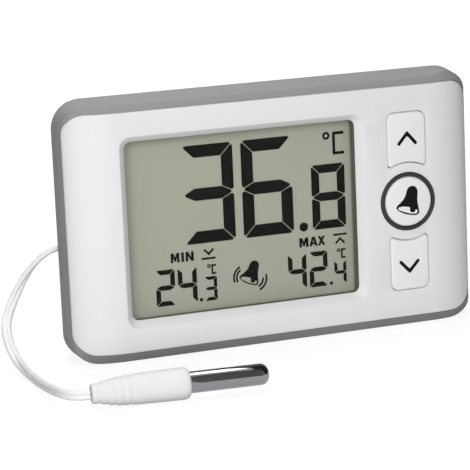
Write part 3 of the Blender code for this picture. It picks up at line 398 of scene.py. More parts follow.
def cell_wrap():
    """Shrink sleeve of a dry cell: dark blue film with a pale band at its positive end."""
    material, place = blank("shrink_film")
    along = node(material, "SeparateXYZ", {"Vector": place})["X"]
    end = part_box("battery_cell")[1].x
    band = step_up(material, along, end - 9.2 * MM, end - 9.0 * MM)
    crinkle = relief(material, noise(material, place, 1.5), 0.15, 0.1)
    return coat(material, blend(material, band, "2A3B57", "C9CBCD"), 0.28, Normal=crinkle)


def floor_paper():
    """Studio paper: white to the camera and in reflections, with the object's soft shadow on it."""
    material, place = blank("studio_paper")
    tint = blend(material, noise(material, place, 3.0), "B0B0B0", "B6B6B6")
    paper = node(material, "BsdfDiffuse", {"Color": tint})[0]
    shadow = node(material, "BsdfDiffuse", {"Color": "808080"})[0]
    glow = node(material, "Emission", {"Strength": 0.86})[0]
    white = node(material, "AddShader", {0: shadow, 1: glow})[0]
    return close(material, node(material, "MixShader", {0: seen(material), 1: paper, 2: white})[0])


def added(name, data):
    """New object in the scene."""
    thing = bpy.data.objects.new(name, data)
    bpy.context.collection.objects.link(thing)
    return thing


def final_mesh(thing):
    """New mesh of a curve, or of an object after its modifiers."""
    graph = bpy.context.evaluated_depsgraph_get()
    return bpy.data.meshes.new_from_object(thing.evaluated_get(graph))


def finish(shape, name, body, surface, angle=35, matrix=TO_METRES):
    """Turn a bmesh into a named piece in metres that rides on a body."""
    piece = solid(shape, name, matrix)
    dress(piece, body, surface, angle)
    return piece


def solid(shape, name, matrix=TO_METRES):
    """Turn a bmesh into an object in metres with near vertices merged and its faces outwards."""
    bmesh.ops.transform(shape, matrix=matrix, verts=shape.verts)
    bmesh.ops.remove_doubles(shape, verts=shape.verts, dist=MERGE)
    bmesh.ops.recalc_face_normals(shape, faces=shape.faces)
    mesh = bpy.data.meshes.new(name)
    shape.to_mesh(mesh)
    shape.free()
    return added(name, mesh)


def dress(piece, body, surface, angle=35):
    """Give a piece its material, smooth shading between its sharp edges, and its body."""
    mesh = piece.data
    mesh.materials.clear()
    mesh.materials.append(surface)
    mesh.shade_smooth()
    mesh.set_sharp_from_angle(angle=radians(angle))
    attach(piece, body)


def combine(target, tools, operation):
    """Join tools to an object or cut them out of it in one step, and remove them."""
    group = bpy.data.collections.new("tools")
    for tool in tools:
        group.objects.link(tool)
    modifier = target.modifiers.new(operation, "BOOLEAN")
    modifier.operation = operation
    modifier.solver = "EXACT"
    modifier.operand_type = "COLLECTION"
    modifier.collection = group
    shaped = final_mesh(target)
    target.modifiers.clear()
    target.data = shaped
    for tool in tools:
        bpy.data.objects.remove(tool)
    bpy.data.collections.remove(group)


def shrink(size, inset):
    """Width and height with an inset on every side."""
    return size[0] - 2 * inset, size[1] - 2 * inset


def eased(value, start, end):
    """Share of the way from one value to another, from 0 to 1 with soft ends."""
    share = min(1.0, max(0.0, (value - start) / (end - start)))
    return share * share * (3 - 2 * share)


def quarter(steps):
    """Angles of a quarter turn."""
    return [pi / 2 * step / steps for step in range(steps + 1)]


def quarter_round(radius, steps=4):
    """Insets and depths of a rounded edge, from the flat face to the side."""
    return [(radius * (1 - sin(turn)), radius * (1 - cos(turn))) for turn in quarter(steps)]


def curved_in(inset, depth, inwards, rise, steps):
    """Insets and depths of a side that curves in towards the back."""
    return [(inset + inwards * (1 - cos(turn)), depth + rise * sin(turn)) for turn in quarter(steps)]


def outline(shape, before):
    """Edges of the face made since then, which is taken away."""
    face = next(face for face in shape.faces if face not in before)
    edges = list(face.edges)
    bmesh.ops.delete(shape, geom=[face], context="FACES_ONLY")
    return edges


def soften(shape, geometry, radius, steps=4, affect="VERTICES"):
    """Round corners of a flat face, or edges."""
    bmesh.ops.bevel(
        shape, geom=geometry, offset=radius, segments=steps, profile=0.5, affect=affect, material=-1,
    )


def ring(shape, middle, size, corner, depth):
    """Edges of an upright rounded rectangle at a depth, with one corner radius or four."""
    before = set(shape.faces)
    spots = [
        shape.verts.new((middle[0] + side * size[0] / 2, depth, middle[1] + level * size[1] / 2))
        for side, level in ((-1, -1), (1, -1), (1, 1), (-1, 1))
    ]
    shape.faces.new(spots)
    for place, radius in zip(spots, corner if isinstance(corner, list) else [corner] * 4):
        soften(shape, [place], radius, 8)
    return outline(shape, before)


def stack(shape, middle, size, corners, stations):
    """Rings of a rounded rectangle at stations of an inset and a depth."""
    rings = []
    for inset, depth in stations:
        radii = [max(LEAST_CORNER, corner - inset) for corner in corners]
        rings.append(ring(shape, middle, shrink(size, inset), radii, depth))
    return rings


def circle(shape, middle, radius, depth, steps=72):
    """Edges of an upright circle at a depth."""
    place = Matrix.Translation((middle[0], depth, middle[1])) @ Matrix.Rotation(pi / 2, 4, "X")
    made = bmesh.ops.create_circle(shape, segments=steps, radius=radius, matrix=place)
    return list({edge for vert in made["verts"] for edge in vert.link_edges})


def key_ring(shape, level, grow, depth):
    """Edges of the outline of the upper (1), lower (-1) or round alarm key (0), grown by an amount."""
    if not level:
        return circle(shape, (KEY_X, MID_Z), ALARM_RADIUS + grow, depth)
    before = set(shape.faces)
    half = KEY_WIDTH / 2 + grow
    hollow = KEY_ARC - grow
    side = asin(half / hollow)
    far = MID_Z + level * (KEY_REACH + grow)
    turns = [side * (step / 3 - 1) for step in range(7)]
    places = [(KEY_X + hollow * sin(turn), MID_Z + level * hollow * cos(turn)) for turn in turns]
    places += [(KEY_X + half, far), (KEY_X - half, far)]
    spots = [shape.verts.new((x, depth, z)) for x, z in places]
    shape.faces.new(spots)
    soften(shape, spots[7:], KEY_CORNER + grow, 6)
    soften(shape, [spots[0], spots[6]], KEY_TIP + grow, 4)
    return outline(shape, before)


def wall(shape, rings):
    """Faces between rings of edges, one after the other."""
    for near, far in zip(rings, rings[1:]):
        bmesh.ops.bridge_loops(shape, edges=near + far)


def cap(shape, edges):
    """One flat face inside a ring of edges."""
    bmesh.ops.contextual_create(shape, geom=edges)


def closed(shape, rings):
    """Faces between rings of edges, and a flat face on both ends."""
    wall(shape, rings)
    cap(shape, rings[0])
    cap(shape, rings[-1])


def end_curve(x):
    """How far the front falls back towards both ends."""
    share = min(1.0, max(0.0, abs(x) - END_START) / END_LENGTH)
    return END_DEPTHS[x > 0] * (1 - sqrt(1 - share * share))


def bend_ends(shape, deepest):
    """Curve the ends back, for what lies before a depth."""
    for step in range(END_COLUMNS):
        x = END_START + END_LENGTH * sin(pi / 2 * step / END_COLUMNS)
        for side in (-1, 1):
            everything = [*shape.verts, *shape.edges, *shape.faces]
            bmesh.ops.bisect_plane(
                shape, geom=everything, dist=1e-5, plane_co=(side * x, 0, 0), plane_no=(1, 0, 0),
            )
    for vert in shape.verts:
        if vert.co.y < deepest:
            vert.co.y += end_curve(vert.co.x)


def prism(name, middle, size, corner, start):
    """Rounded block from a depth to behind the housing, to cut with."""
    shape = bmesh.new()
    closed(shape, [ring(shape, middle, size, corner, depth) for depth in (start, BEHIND)])
    return solid(shape, name)


def drum(name, middle, radius, start):
    """Round block from a depth to behind the housing, to cut with."""
    shape = bmesh.new()
    closed(shape, [circle(shape, middle, radius, depth, 40) for depth in (start, BEHIND)])
    return solid(shape, name)


def turned(profile, place, steps):
    """Shape of a closed profile of (along, radius, corner) points, turned about an axis."""
    shape = bmesh.new()
    spots = [shape.verts.new((radius, 0.0, along)) for along, radius, corner in profile]
    shape.faces.new(spots)
    for spot, (along, radius, corner) in zip(spots, profile):
        if corner:
            soften(shape, [spot], corner)
    axis = [edge for edge in outline(shape, []) if max(vert.co.x for vert in edge.verts) < 1e-6]
    bmesh.ops.delete(shape, geom=axis, context="EDGES")
    bmesh.ops.spin(
        shape, geom=[*shape.verts, *shape.edges], axis=(0, 0, 1), cent=(0, 0, 0), angle=2 * pi, steps=steps,
        use_merge=True,
    )
    bmesh.ops.transform(shape, matrix=place, verts=shape.verts)
    return shape


def make_cover(surface):
    """White cover with a soft edge, a sloping window frame, key holes and the alarm ring's seat."""
    shape = bmesh.new()
    stations = [*quarter_round(COVER_EDGE), (0.0, COVER_THICKNESS)]
    edge = stack(shape, COVER_MIDDLE, COVER, COVER_CORNERS, stations)
    window = [
        ring(
            shape, Vector(WINDOW_MIDDLE).lerp(OPENING_MIDDLE, share), Vector(WINDOW).lerp(OPENING, share),
            WINDOW_CORNER + (OPENING_CORNER - WINDOW_CORNER) * share, depth,
        )
        for share, depth in WINDOW_FRAME
    ]
    holes = [[key_ring(shape, level, grow, depth) for grow, depth in HOLE_EDGE] for level in (1, -1)]
    seat = [circle(shape, (KEY_X, MID_Z), radius, depth) for radius, depth in RING_SEAT]
    groups = [edge, window, *holes, seat]
    for rings in groups:
        wall(shape, rings)
    for end in (0, -1):
        edges = [part for rings in groups for part in rings[end]]
        bmesh.ops.triangle_fill(shape, use_beauty=True, edges=edges)
    bend_ends(shape, BODY_DEPTH)
    piece = finish(shape, "cover_shell", "housing", surface)
    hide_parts("front_cover")


def housing_block():
    """Grey housing before it is hollowed: seat of the cover, sloping rim and round back."""
    shape = bmesh.new()
    rings = stack(shape, COVER_MIDDLE, COVER, COVER_CORNERS, [(-SEAM, SEAT_DEPTH), (-SEAM, SEAT_LIP)])
    for edges in stack(shape, MIDDLE, BODY, RIM_CORNERS, RIM_EDGE):
        for vert in {vert for edge in edges for vert in edge.verts}:
            above = max(0.0, vert.co.z - MID_Z - COVER[1] / 2)
            below = max(0.0, MID_Z - vert.co.z - COVER[1] / 2)
            beside = max(0.0, abs(vert.co.x) - COVER[0] / 2)
            vert.co.y += above * RIM_TOP_SLOPE + below * RIM_LOW_SLOPE + beside * RIM_END_SLOPE
        rings.append(edges)
    closed(shape, rings + stack(shape, MIDDLE, BODY, SIDE_CORNERS, curved_in(*SIDE)))
    bend_ends(shape, SIDE_DEPTH / 2)
    for vert in shape.verts:
        above = vert.co.z - MID_Z - COVER[1] / 2
        if above > 0 and vert.co.y - end_curve(vert.co.x) < SIDE_DEPTH / 2:
            vert.co.z -= above * RIM_TOP_DROP * (1 - eased(vert.co.x, *RIM_DROP_FADE))
    bmesh.ops.triangulate(shape, faces=[face for face in shape.faces if len(face.verts) > 4])
    return solid(shape, "housing_shell")


def make_housing(surface):
    """Grey rear housing with its battery tub, stand recess, lead guide and holes."""
    housing = housing_block()
    shape = bmesh.new()
    closed(shape, stack(shape, MIDDLE, COVER, COVER_CORNERS, [CAVITY_FRONT, *curved_in(*CAVITY_SIDE)]))
    cavity = solid(shape, "cavity")

    screws = [(side * SCREW_X, MID_Z + level * SCREW_Z) for level in (1, -1) for side in (-1, 1)]
    hinge_depth, hinge_z = STAND_HINGE
    recess = hinge_depth - STAND_THICKNESS / 2 - STAND_ROOM
    top = hinge_z + STAND_THICKNESS / 2 + STAND_ROOM
    low = STAND_FOOT - STAND_SIDE_ROOM
    middle = (0.0, (top + low) / 2)
    size = (STAND_WIDTH + 2 * STAND_SIDE_ROOM, top - low)
    guide = shrink(GUIDE, -GUIDE_WALL)
    blocks = [
        prism("tub", CELL_MIDDLE, shrink(TUB, -TUB_SIDE_WALL), BLOCK_CORNER, TUB_FRONT - TUB_FRONT_WALL),
        prism("stand_block", middle, shrink(size, -STAND_WALL), BLOCK_CORNER, recess - STAND_WALL),
        prism("guide_block", GUIDE_MIDDLE, guide, GUIDE_BLOCK_CORNER, GUIDE_FRONT - GUIDE_WALL),
    ]
    blocks += [drum("sleeve", place, *SCREW_SLEEVE) for place in screws]
    combine(cavity, blocks, "DIFFERENCE")

    seat = shrink(TUB, -DOOR_LEDGE)
    tools = [
        cavity,
        prism("tub_space", CELL_MIDDLE, TUB, TUB_CORNER, TUB_FRONT),
        prism("door_seat", CELL_MIDDLE, seat, DOOR_CORNER + DOOR_ROOM, DOOR_FRONT - DOOR_ROOM),
        prism("stand_recess", middle, size, RECESS_CORNER, recess),
        prism("guide", GUIDE_MIDDLE, GUIDE, GUIDE_CORNER, GUIDE_FRONT),
        prism("notch", (0.0, STAND_FOOT - NOTCH_BELOW), NOTCH, NOTCH_CORNER, recess),
        drum("grommet_hole", OUTLET, *OUTLET_HOLE),
        stand_pins("pin_holes", *PIN_HOLES),
    ]
    for place in screws:
        tools.append(drum("counterbore", place, *COUNTERBORE))
        tools.append(drum("screw_hole", place, *SCREW_HOLE))
    for step in (-1, 0, 1):
        place = (KEY_X, MID_Z - SLOTS_BELOW + SLOT_PITCH * step)
        tools.append(prism("slot", place, SLOT, SLOT_CORNER, BACK_WALL_FRONT))
    combine(housing, tools, "DIFFERENCE")
    dress(housing, "housing", surface)
    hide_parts("rear_housing")


def make_keys(surface, dark):
    """White caps of the three keys with soft edges, and the dark ring round the alarm key."""
    skirt, low = KEY_SKIRT
    stations = [(-inset, KEY_TOP + depth) for inset, depth in quarter_round(KEY_EDGE)]
    stations += [(0.0, low - skirt), (skirt, low), (skirt, KEY_BOTTOM)]
    for key, level in (("up", 1), ("down", -1), ("alarm", 0)):
        shape = bmesh.new()
        closed(shape, [key_ring(shape, level, grow, depth) for grow, depth in stations])
        piece = finish(shape, key + "_cap", key + "_key", surface)
        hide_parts(key + "_key")
    face_front = Matrix.Translation((KEY_X, 0.0, MID_Z)) @ Matrix.Rotation(-pi / 2, 4, "X")
    piece = finish(turned(RING_PROFILE, face_front, 96), "alarm_bezel", "housing", dark)
    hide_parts("alarm_ring")


def bar(shape, left, right, low, high):
    """Flat upright rectangle."""
    polygon(shape, [(left, low), (right, low), (right, high), (left, high)])


def polygon(shape, corners, radius=0.0):
    """Flat face through a few corners, which can be rounded."""
    spots = [shape.verts.new((x, 0.0, z)) for x, z in corners]
    face = shape.faces.new(spots)
    if radius:
        soften(shape, spots, radius, 3)
    return face


def dot(shape, middle, radius):
    """Flat round dot."""
    cap(shape, circle(shape, middle, radius, 0.0, 32))


def arc_stroke(shape, middle, radius, stroke, start=0.0, sweep=2 * pi):
    """Flat stroke along an arc; a full turn makes a ring."""
    first = Vector((cos(start), 0.0, sin(start)))
    centre = Vector((middle[0], 0.0, middle[1]))
    ends = [shape.verts.new(centre + first * (radius + side * stroke / 2)) for side in (-1, 1)]
    edge = shape.edges.new(ends)
    bmesh.ops.spin(
        shape, geom=[*ends, edge], axis=(0, -1, 0), cent=centre, angle=sweep,
        steps=max(8, int(sweep * 6)), use_merge=sweep > 6.28,
    )


def chevron(shape, apex, reach, rise, stroke, radius):
    """Flat arrow head of one stroke width, whose arms fall by the rise over the reach."""
    long = hypot(reach, rise)
    up = stroke / 2 if rise > 0 else -stroke / 2
    tip = up * long / reach
    x = up * rise / long
    z = up * reach / long
    arm = [(reach + x, z - rise), (reach - x, -z - rise)]
    corners = [(0.0, tip), *arm, (0.0, -tip), *[(-x, z) for x, z in reversed(arm)]]
    polygon(shape, [(apex[0] + x, apex[1] + z) for x, z in corners], radius)


def figure(shape, sign, left, low, form):
    """Seven-stroke figure with mitred strokes and thin gaps between them."""
    width, height, stroke, gap = form
    x = left + width / 2
    z = low + height / 2
    half = stroke / 2 + gap
    wide = width / 2 + gap
    tall = height / 2 + gap
    inner = wide - 2 * half
    top = tall - 2 * half
    across = [(-wide, tall), (wide, tall), (inner, top), (-inner, top)]
    upright = [(wide, tall), (wide, 0.0), (inner, half), (inner, top)]
    middle = [(-wide, 0.0), (-inner, half), (inner, half), (wide, 0.0), (inner, -half), (-inner, -half)]
    # Corners of each stroke, and how they are mirrored
    strokes = {
        "a": (across, 1, 1), "b": (upright, 1, 1), "c": (upright, 1, -1), "d": (across, 1, -1),
        "e": (upright, -1, -1), "f": (upright, -1, 1), "g": (middle, 1, 1),
    }
    for name in STROKES[sign]:
        corners, side, level = strokes[name]
        face = polygon(shape, [(x + side * right, z + level * up) for right, up in corners])
        face.normal_update()
        made = bmesh.ops.inset_individual(shape, faces=[face], thickness=gap, use_even_offset=True)
        bmesh.ops.delete(shape, geom=made["faces"], context="FACES")
        outer = [
            vert for vert in face.verts
            if min(width / 2 - abs(vert.co.x - x), height / 2 - abs(vert.co.z - z)) < stroke / 3
        ]
        soften(shape, outer, stroke / 3)


def squared_c(shape, left, low, width, height, stroke):
    """Letter C of three straight strokes."""
    right = left + width
    top = low + height
    corners = [
        (right, top), (left, top), (left, low), (right, low), (right, low + stroke),
        (left + stroke, low + stroke), (left + stroke, top - stroke), (right, top - stroke),
    ]
    polygon(shape, corners, stroke / 6)


def filled(shape, outlines, rounded, place):
    """Flat figure from an outline and its holes, rounded or with straight sides, upright at a place."""
    curve = bpy.data.curves.new("figure", "CURVE")
    curve.dimensions = "2D"
    curve.fill_mode = "BOTH"
    curve.resolution_u = 5
    for points in outlines:
        spline = curve.splines.new("BEZIER")
        spline.bezier_points.add(len(points) - 1)
        spline.use_cyclic_u = True
        for knot, (x, z) in zip(spline.bezier_points, points):
            knot.co = (x, z, 0.0)
            knot.handle_left_type = "AUTO" if rounded else "VECTOR"
            knot.handle_right_type = knot.handle_left_type
    drawn = added("figure", curve)
    kept = set(shape.verts)
    shape.from_mesh(final_mesh(drawn))
    bpy.data.objects.remove(drawn)
    new = [vert for vert in shape.verts if vert not in kept]
    bmesh.ops.transform(shape, matrix=place @ Matrix.Rotation(pi / 2, 4, "X"), verts=new)


def word(shape, left, low, height, letters):
    """Plain bold capitals, each given with its start and its width."""
    for letter, start, width in letters:
        place = Matrix.Translation((left + start, 0.0, low)) @ Matrix.Diagonal((width, 1.0, height, 1.0))
        filled(shape, LETTERS[letter], False, place)


def bell(shape, middle, size, turn):
    """Small hand bell, leaning, with a pale mouth and its clapper."""
    body = [
        (-3.4, -1.5), (-2.25, -0.25), (-1.2, 0.75), (-0.6, 1.75), (-0.15, 3.1), (0.6, 3.95), (1.35, 4.1),
        (2.2, 3.9), (2.85, 3.1), (2.98, 2.1), (2.85, 0.6), (2.95, -1.0), (3.25, -2.6), (3.2, -3.5),
        (2.6, -3.9), (1.4, -3.85), (-0.3, -3.5), (-1.9, -2.85), (-3.1, -2.0),
    ]
    mouth = [
        (-2.85, -1.68), (-1.9, -1.28), (-0.5, -1.4), (0.62, -1.8), (0.58, -2.5), (0.92, -3.0), (1.45, -3.15),
        (2.0, -2.95), (2.35, -2.4), (2.8, -2.85), (2.6, -3.38), (1.5, -3.46), (-0.15, -3.1), (-1.65, -2.5),
    ]
    place = Matrix.Translation((middle[0], 0.0, middle[1])) @ Matrix.Rotation(turn, 4, "Y")
    filled(shape, (body, mouth), True, place @ Matrix.Scale(size, 4))


def thicken(shape, place, thickness):
    """Move flat faces to a place and give them a thickness towards the back."""
    bmesh.ops.translate(shape, vec=place, verts=shape.verts)
    made = bmesh.ops.extrude_face_region(shape, geom=list(shape.faces), use_keep_orig=True)
    moved = [item for item in made["geom"] if isinstance(item, bmesh.types.BMVert)]
    bmesh.ops.translate(shape, vec=(0.0, thickness, 0.0), verts=moved)


def reading(shape, left, pair, tenth, point, right):
    """Small reading: two figures, a decimal point, a tenth and its degree sign."""
    low = -21.9
    figure(shape, pair[0], left, low, SMALL)
    figure(shape, pair[1], left + 6.15, low, SMALL)
    dot(shape, (point, -21.4), 0.48)
    figure(shape, tenth, right - 3.5, low, SMALL_TENTH)
    arc_stroke(shape, (right - 2.05, -12.6), 0.36, 0.32)
    squared_c(shape, right - 1.4, -14.85, 1.35, 2.65, 0.48)


def make_figures(ink):
    """All that the display shows, drawn from its middle, as a thin layer between its two glasses."""
    shape = bmesh.new()
    low = -6.25
    figure(shape, "3", -25.04, low, LARGE)
    figure(shape, "6", -8.41, low, LARGE)
    dot(shape, (8.77, -5.1), 1.23)
    figure(shape, "8", 11.4, low, LARGE_TENTH)
    arc_stroke(shape, (16.1, 18.9), 0.75, 0.6)
    squared_c(shape, 17.9, 13.64, 3.3, 6.16, 0.78)

    low = -10.6
    word(shape, -29.2, low, 2.55, [("M", 0.0, 2.4), ("I", 2.95, 0.74), ("N", 4.15, 2.25)])
    chevron(shape, (-18.55, -9.3), 1.3, -1.3, 0.55, 0.08)
    bar(shape, -20.6, -16.7, -10.74, -10.2)
    word(shape, 7.3, low, 2.55, [("M", 0.0, 2.6), ("A", 2.9, 2.4), ("X", 5.35, 2.15)])
    chevron(shape, (19.15, -9.35), 1.3, 1.3, 0.55, 0.08)
    bar(shape, 17.2, 21.1, -8.5, -7.96)

    reading(shape, -33.65, "24", "3", -21.2, -16.6)
    reading(shape, 3.8, "42", "4", 16.2, 20.7)

    bell(shape, (-7.28, -15.8), 0.83, radians(8))
    left = (-8.5, -16.8)
    right = (-5.85, -17.6)
    for middle, radius, start, sweep in (
        (left, 3.3, 116, 83), (left, 2.5, 122, 84), (right, 3.33, -68, 85), (right, 2.35, -67, 69),
    ):
        arc_stroke(shape, middle, radius, 0.5, radians(start), radians(sweep))
    thicken(shape, INK_PLACE, INK_THICKNESS)
    piece = finish(shape, "lcd_figures", "housing", ink)


def make_glyphs(ink):
    """Printed marks on the three keys."""
    marks = {"up_key": bmesh.new(), "alarm_key": bmesh.new(), "down_key": bmesh.new()}
    chevron(marks["up_key"], (36.75, 18.6), 2.72, 3.1, 0.92, 0.42)
    bell(marks["alarm_key"], (36.43, 0.05), 1.0, 0.0)
    chevron(marks["down_key"], (36.45, -19.1), 2.85, -3.0, 0.92, 0.42)
    for body, shape in marks.items():
        thicken(shape, (0.0, KEY_TOP - PRINT_PROUD, MID_Z), PRINT_THICKNESS)
        piece = finish(shape, body + "_mark", body, ink)


def make_door(surface):
    """Battery door with a soft edge and a round finger dish."""
    shape = bmesh.new()
    rings = [ring(shape, CELL_MIDDLE, DOOR, DOOR_CORNER, DOOR_FRONT)]
    for inset, depth in reversed(quarter_round(DOOR_EDGE)):
        rings.append(ring(shape, CELL_MIDDLE, shrink(DOOR, inset), DOOR_CORNER - inset, BODY_DEPTH - depth))
    wall(shape, rings)
    cap(shape, rings[0])
    grip = (GRIP_X, CELL_MIDDLE[1])
    rounds = [circle(shape, grip, radius, depth) for radius, depth in GRIP_DISH]
    wall(shape, rounds)
    cap(shape, rounds[-1])
    bmesh.ops.triangle_fill(shape, use_beauty=True, edges=rings[-1] + rounds[0])
    piece = finish(shape, "door_plate", "battery_door", surface)
    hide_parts("battery_door")


def stand_pins(name, radius, reach, edge):
    """Round bar on the stand's hinge that reaches past both its sides."""
    end = STAND_WIDTH / 2 + reach
    profile = [(-end, 0.0, 0), (-end, radius, edge), (end, radius, edge), (end, 0.0, 0)]
    place = Matrix.Translation((0.0, *STAND_HINGE)) @ Matrix.Rotation(pi / 2, 4, "Y")
    return solid(turned(profile, place, 24), name)


def make_stand(surface):
    """Folding stand: a plate that is round at its hinge, with soft edges and two pins."""
    depth, hinge = STAND_HINGE
    half = STAND_THICKNESS / 2
    tall = hinge + half - STAND_FOOT
    shape = bmesh.new()
    place = Matrix.Translation((0.0, depth, STAND_FOOT + tall / 2))
    place = place @ Matrix.Diagonal((STAND_WIDTH, STAND_THICKNESS, tall, 1.0))
    bmesh.ops.create_cube(shape, size=1.0, matrix=place)
    ends = [(edge, edge.verts[0].co, edge.verts[1].co) for edge in shape.edges]
    feet = [edge for edge, start, end in ends if start.xz == end.xz and end.z < hinge]
    heads = [edge for edge, start, end in ends if start.yz == end.yz and end.z > hinge]
    soften(shape, feet, half, 6, "EDGES")
    soften(shape, heads, half * 0.98, 8, "EDGES")
    sharp = [edge for edge in shape.edges if edge.calc_face_angle(0.0) > radians(50)]
    soften(shape, sharp, STAND_EDGE, 3, "EDGES")
    leaf = solid(shape, "stand_leaf")
    combine(leaf, [stand_pins("stand_pins", *PINS)], "UNION")
    dress(leaf, "stand", surface)
    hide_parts("stand")


def make_probe(rubber, steel):
    """White ribbed boot and polished steel tube of the probe."""
    profile = [(0.0, 0.0, 0), (0.0, 2.35, 0.3)]
    ribs = [(1.2, 2.6), (3.0, 3.0), (4.9, 3.35), (6.9, 3.62), (8.9, 3.75)]
    for along, radius in ribs:
        profile.append((along, radius, 0.5))
        profile.append((along + 0.6, radius - 0.22, 0.3))
    profile += [(10.6, 3.78, 0.5), (21.4, 3.98, 0.6), (BOOT_LENGTH, 3.98, 1.5), (BOOT_LENGTH, 2.95, 0.2)]
    profile += [(TUBE_START - 0.3, 2.95, 0), (TUBE_START - 0.3, 0.0, 0)]
    boot = finish(turned(profile, PROBE_AXIS, 72), "boot_sleeve", "housing", rubber, 50)
    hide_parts("probe_boot")

    profile = [
        (TUBE_START, TUBE_BORE, 0), (TUBE_START, TUBE_RADIUS, 0.15), (TUBE_END, TUBE_RADIUS, TUBE_TIP),
        (TUBE_END, 0.0, 0), (TUBE_END - TUBE_TIP, 0.0, 0), (TUBE_END - TUBE_TIP, TUBE_BORE, 0),
    ]
    tube = finish(turned(profile, PROBE_AXIS, 72), "tube_shell", "housing", steel, 50)
    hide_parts("probe_tube")
    return boot, tube


def make_grommet(rubber):
    """White strain relief where the lead leaves the back, with two grooves."""
    profile = [
        (19.3, 0.0, 0), (19.3, 3.2, 0.2), (20.3, 3.2, 0.2), (20.3, 2.0, 0), (22.7, 2.0, 0),
        (22.7, 2.8, 0.15), (23.7, 2.75, 0.3), (24.1, 2.2, 0.15), (24.5, 2.5, 0.2), (25.2, 2.35, 0.25),
        (25.6, 1.95, 0.15), (26.0, 2.15, 0.2), (27.0, 1.8, 0.3), (27.0, 0.0, 0),
    ]
    place = Matrix.Translation((OUTLET[0], 0.0, OUTLET[1])) @ Matrix.Rotation(-pi / 2, 4, "X")
    piece = finish(turned(profile, place, 48), "strain_relief", "housing", rubber, 50)
    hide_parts("cord_grommet")
    return piece


def coil_line():
    """Points of the coil: in on the top layer, half a turn down, and out on the lower layer."""
    turns = 2 * COIL_TURNS + 0.5
    count = int(turns * COIL_POINTS)
    points = []
    for step in range(count + 1):
        turn = turns * step / count
        low = max(0.0, turn - COIL_TURNS - 0.5)
        radius = COIL_OUTER - COIL_PITCH * min(turn, COIL_TURNS + 0.5)
        radius += COIL_STEP_OUT * min(1.0, low / 0.5) + COIL_PITCH * max(0.0, low - 0.5)
        height = COIL_TOP + (COIL_LOW - COIL_TOP) * eased(turn, COIL_TURNS, COIL_TURNS + 0.5)
        angle = 2 * pi * turn
        points.append((COIL_MIDDLE[0] + radius * cos(angle), COIL_MIDDLE[1] + radius * sin(angle), height))
    return points


def smooth_line(route, ways, spacing, steps=12):
    """Even points on a smooth curve through a route, each with the cord's broad direction."""
    points = [Vector(point) for point in route]
    ends = [2 * points[0] - points[1], *points, 2 * points[-1] - points[-2]]
    fine = []
    for index, (before, start, end, after) in enumerate(zip(ends, ends[1:], ends[2:], ends[3:])):
        bend = 2 * before - 5 * start + 4 * end - after
        twist = 3 * start - before - 3 * end + after
        for share in [step / steps for step in range(steps)]:
            place = start + (end - before) * share / 2 + bend * share ** 2 / 2 + twist * share ** 3 / 2
            fine.append((place, ways[index].lerp(ways[index + 1], share)))
    fine.append((points[-1], ways[-1]))
    line = [fine[0]]
    walked = 0.0
    for before, after in zip(fine, fine[1:]):
        walked += (after[0] - before[0]).length
        if walked >= spacing:
            line.append(after)
            walked = 0.0
    line[-1] = fine[-1]
    return line


def cord_section():
    """Outline of the lead: two round cores side by side with a groove between them."""
    core = CORD_THICKNESS / 2
    middle = CORD_WIDTH / 2 - core
    half = [(middle + core * cos(radians(turn)), core * sin(radians(turn))) for turn in range(-150, 151, 30)]
    groove = 0.3 * core
    other = [(-across, -out) for across, out in half]
    return [*half, (0.0, groove), *other, (0.0, -groove)]


def make_cord(jacket):
    """Flat twin lead from the strain relief through its coil to the probe, as one tube."""
    up = Vector((0.0, 0.0, 1.0))
    look = Vector(CAMERA_LOOK)
    coil = coil_line()
    lead_ways = []
    neighbours = zip([LEAD_ROUTE[0], *LEAD_ROUTE], [*LEAD_ROUTE[1:], LEAD_ROUTE[-1]])
    for index, (before, after) in enumerate(neighbours):
        shown = (Vector(after) - Vector(before)).cross(look).normalized()
        flat = 1.0 if index < 3 else min(1.0, max(0.0, (index - 14) / 4))
        edge_on = LEAD_EDGE[index]
        last = lead_ways[-1] if lead_ways else up
        way = edge_on * look
        for share, target in (((1 - flat) * (1 - edge_on), shown), (flat, up)):
            way += share * target if target.dot(last) > 0 else -share * target
        lead_ways.append(way.normalized())
    route = [*EXIT_ROUTE, *coil, *LEAD_ROUTE]
    ways = [*[up] * (len(EXIT_ROUTE) + len(coil)), *lead_ways]
    line = smooth_line(route, ways, CORD_STEP)
    section = cord_section()
    shape = bmesh.new()
    rings = []
    places = [place for place, way in line]
    for index, (place, way) in enumerate(line):
        along = (places[min(index + 1, len(places) - 1)] - places[max(index - 1, 0)]).normalized()
        broad = (way - along * way.dot(along)).normalized()
        thin = along.cross(broad)
        spots = [shape.verts.new(place + broad * across + thin * out) for across, out in section]
        rings.append([shape.edges.new((spots[side - 1], spots[side])) for side in range(len(spots))])
    closed(shape, rings)
    cord = finish(shape, "twin_lead", "housing", jacket, 60, Matrix.Identity(4))
    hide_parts("lead_exit", "lead_coil", "sensor_lead")


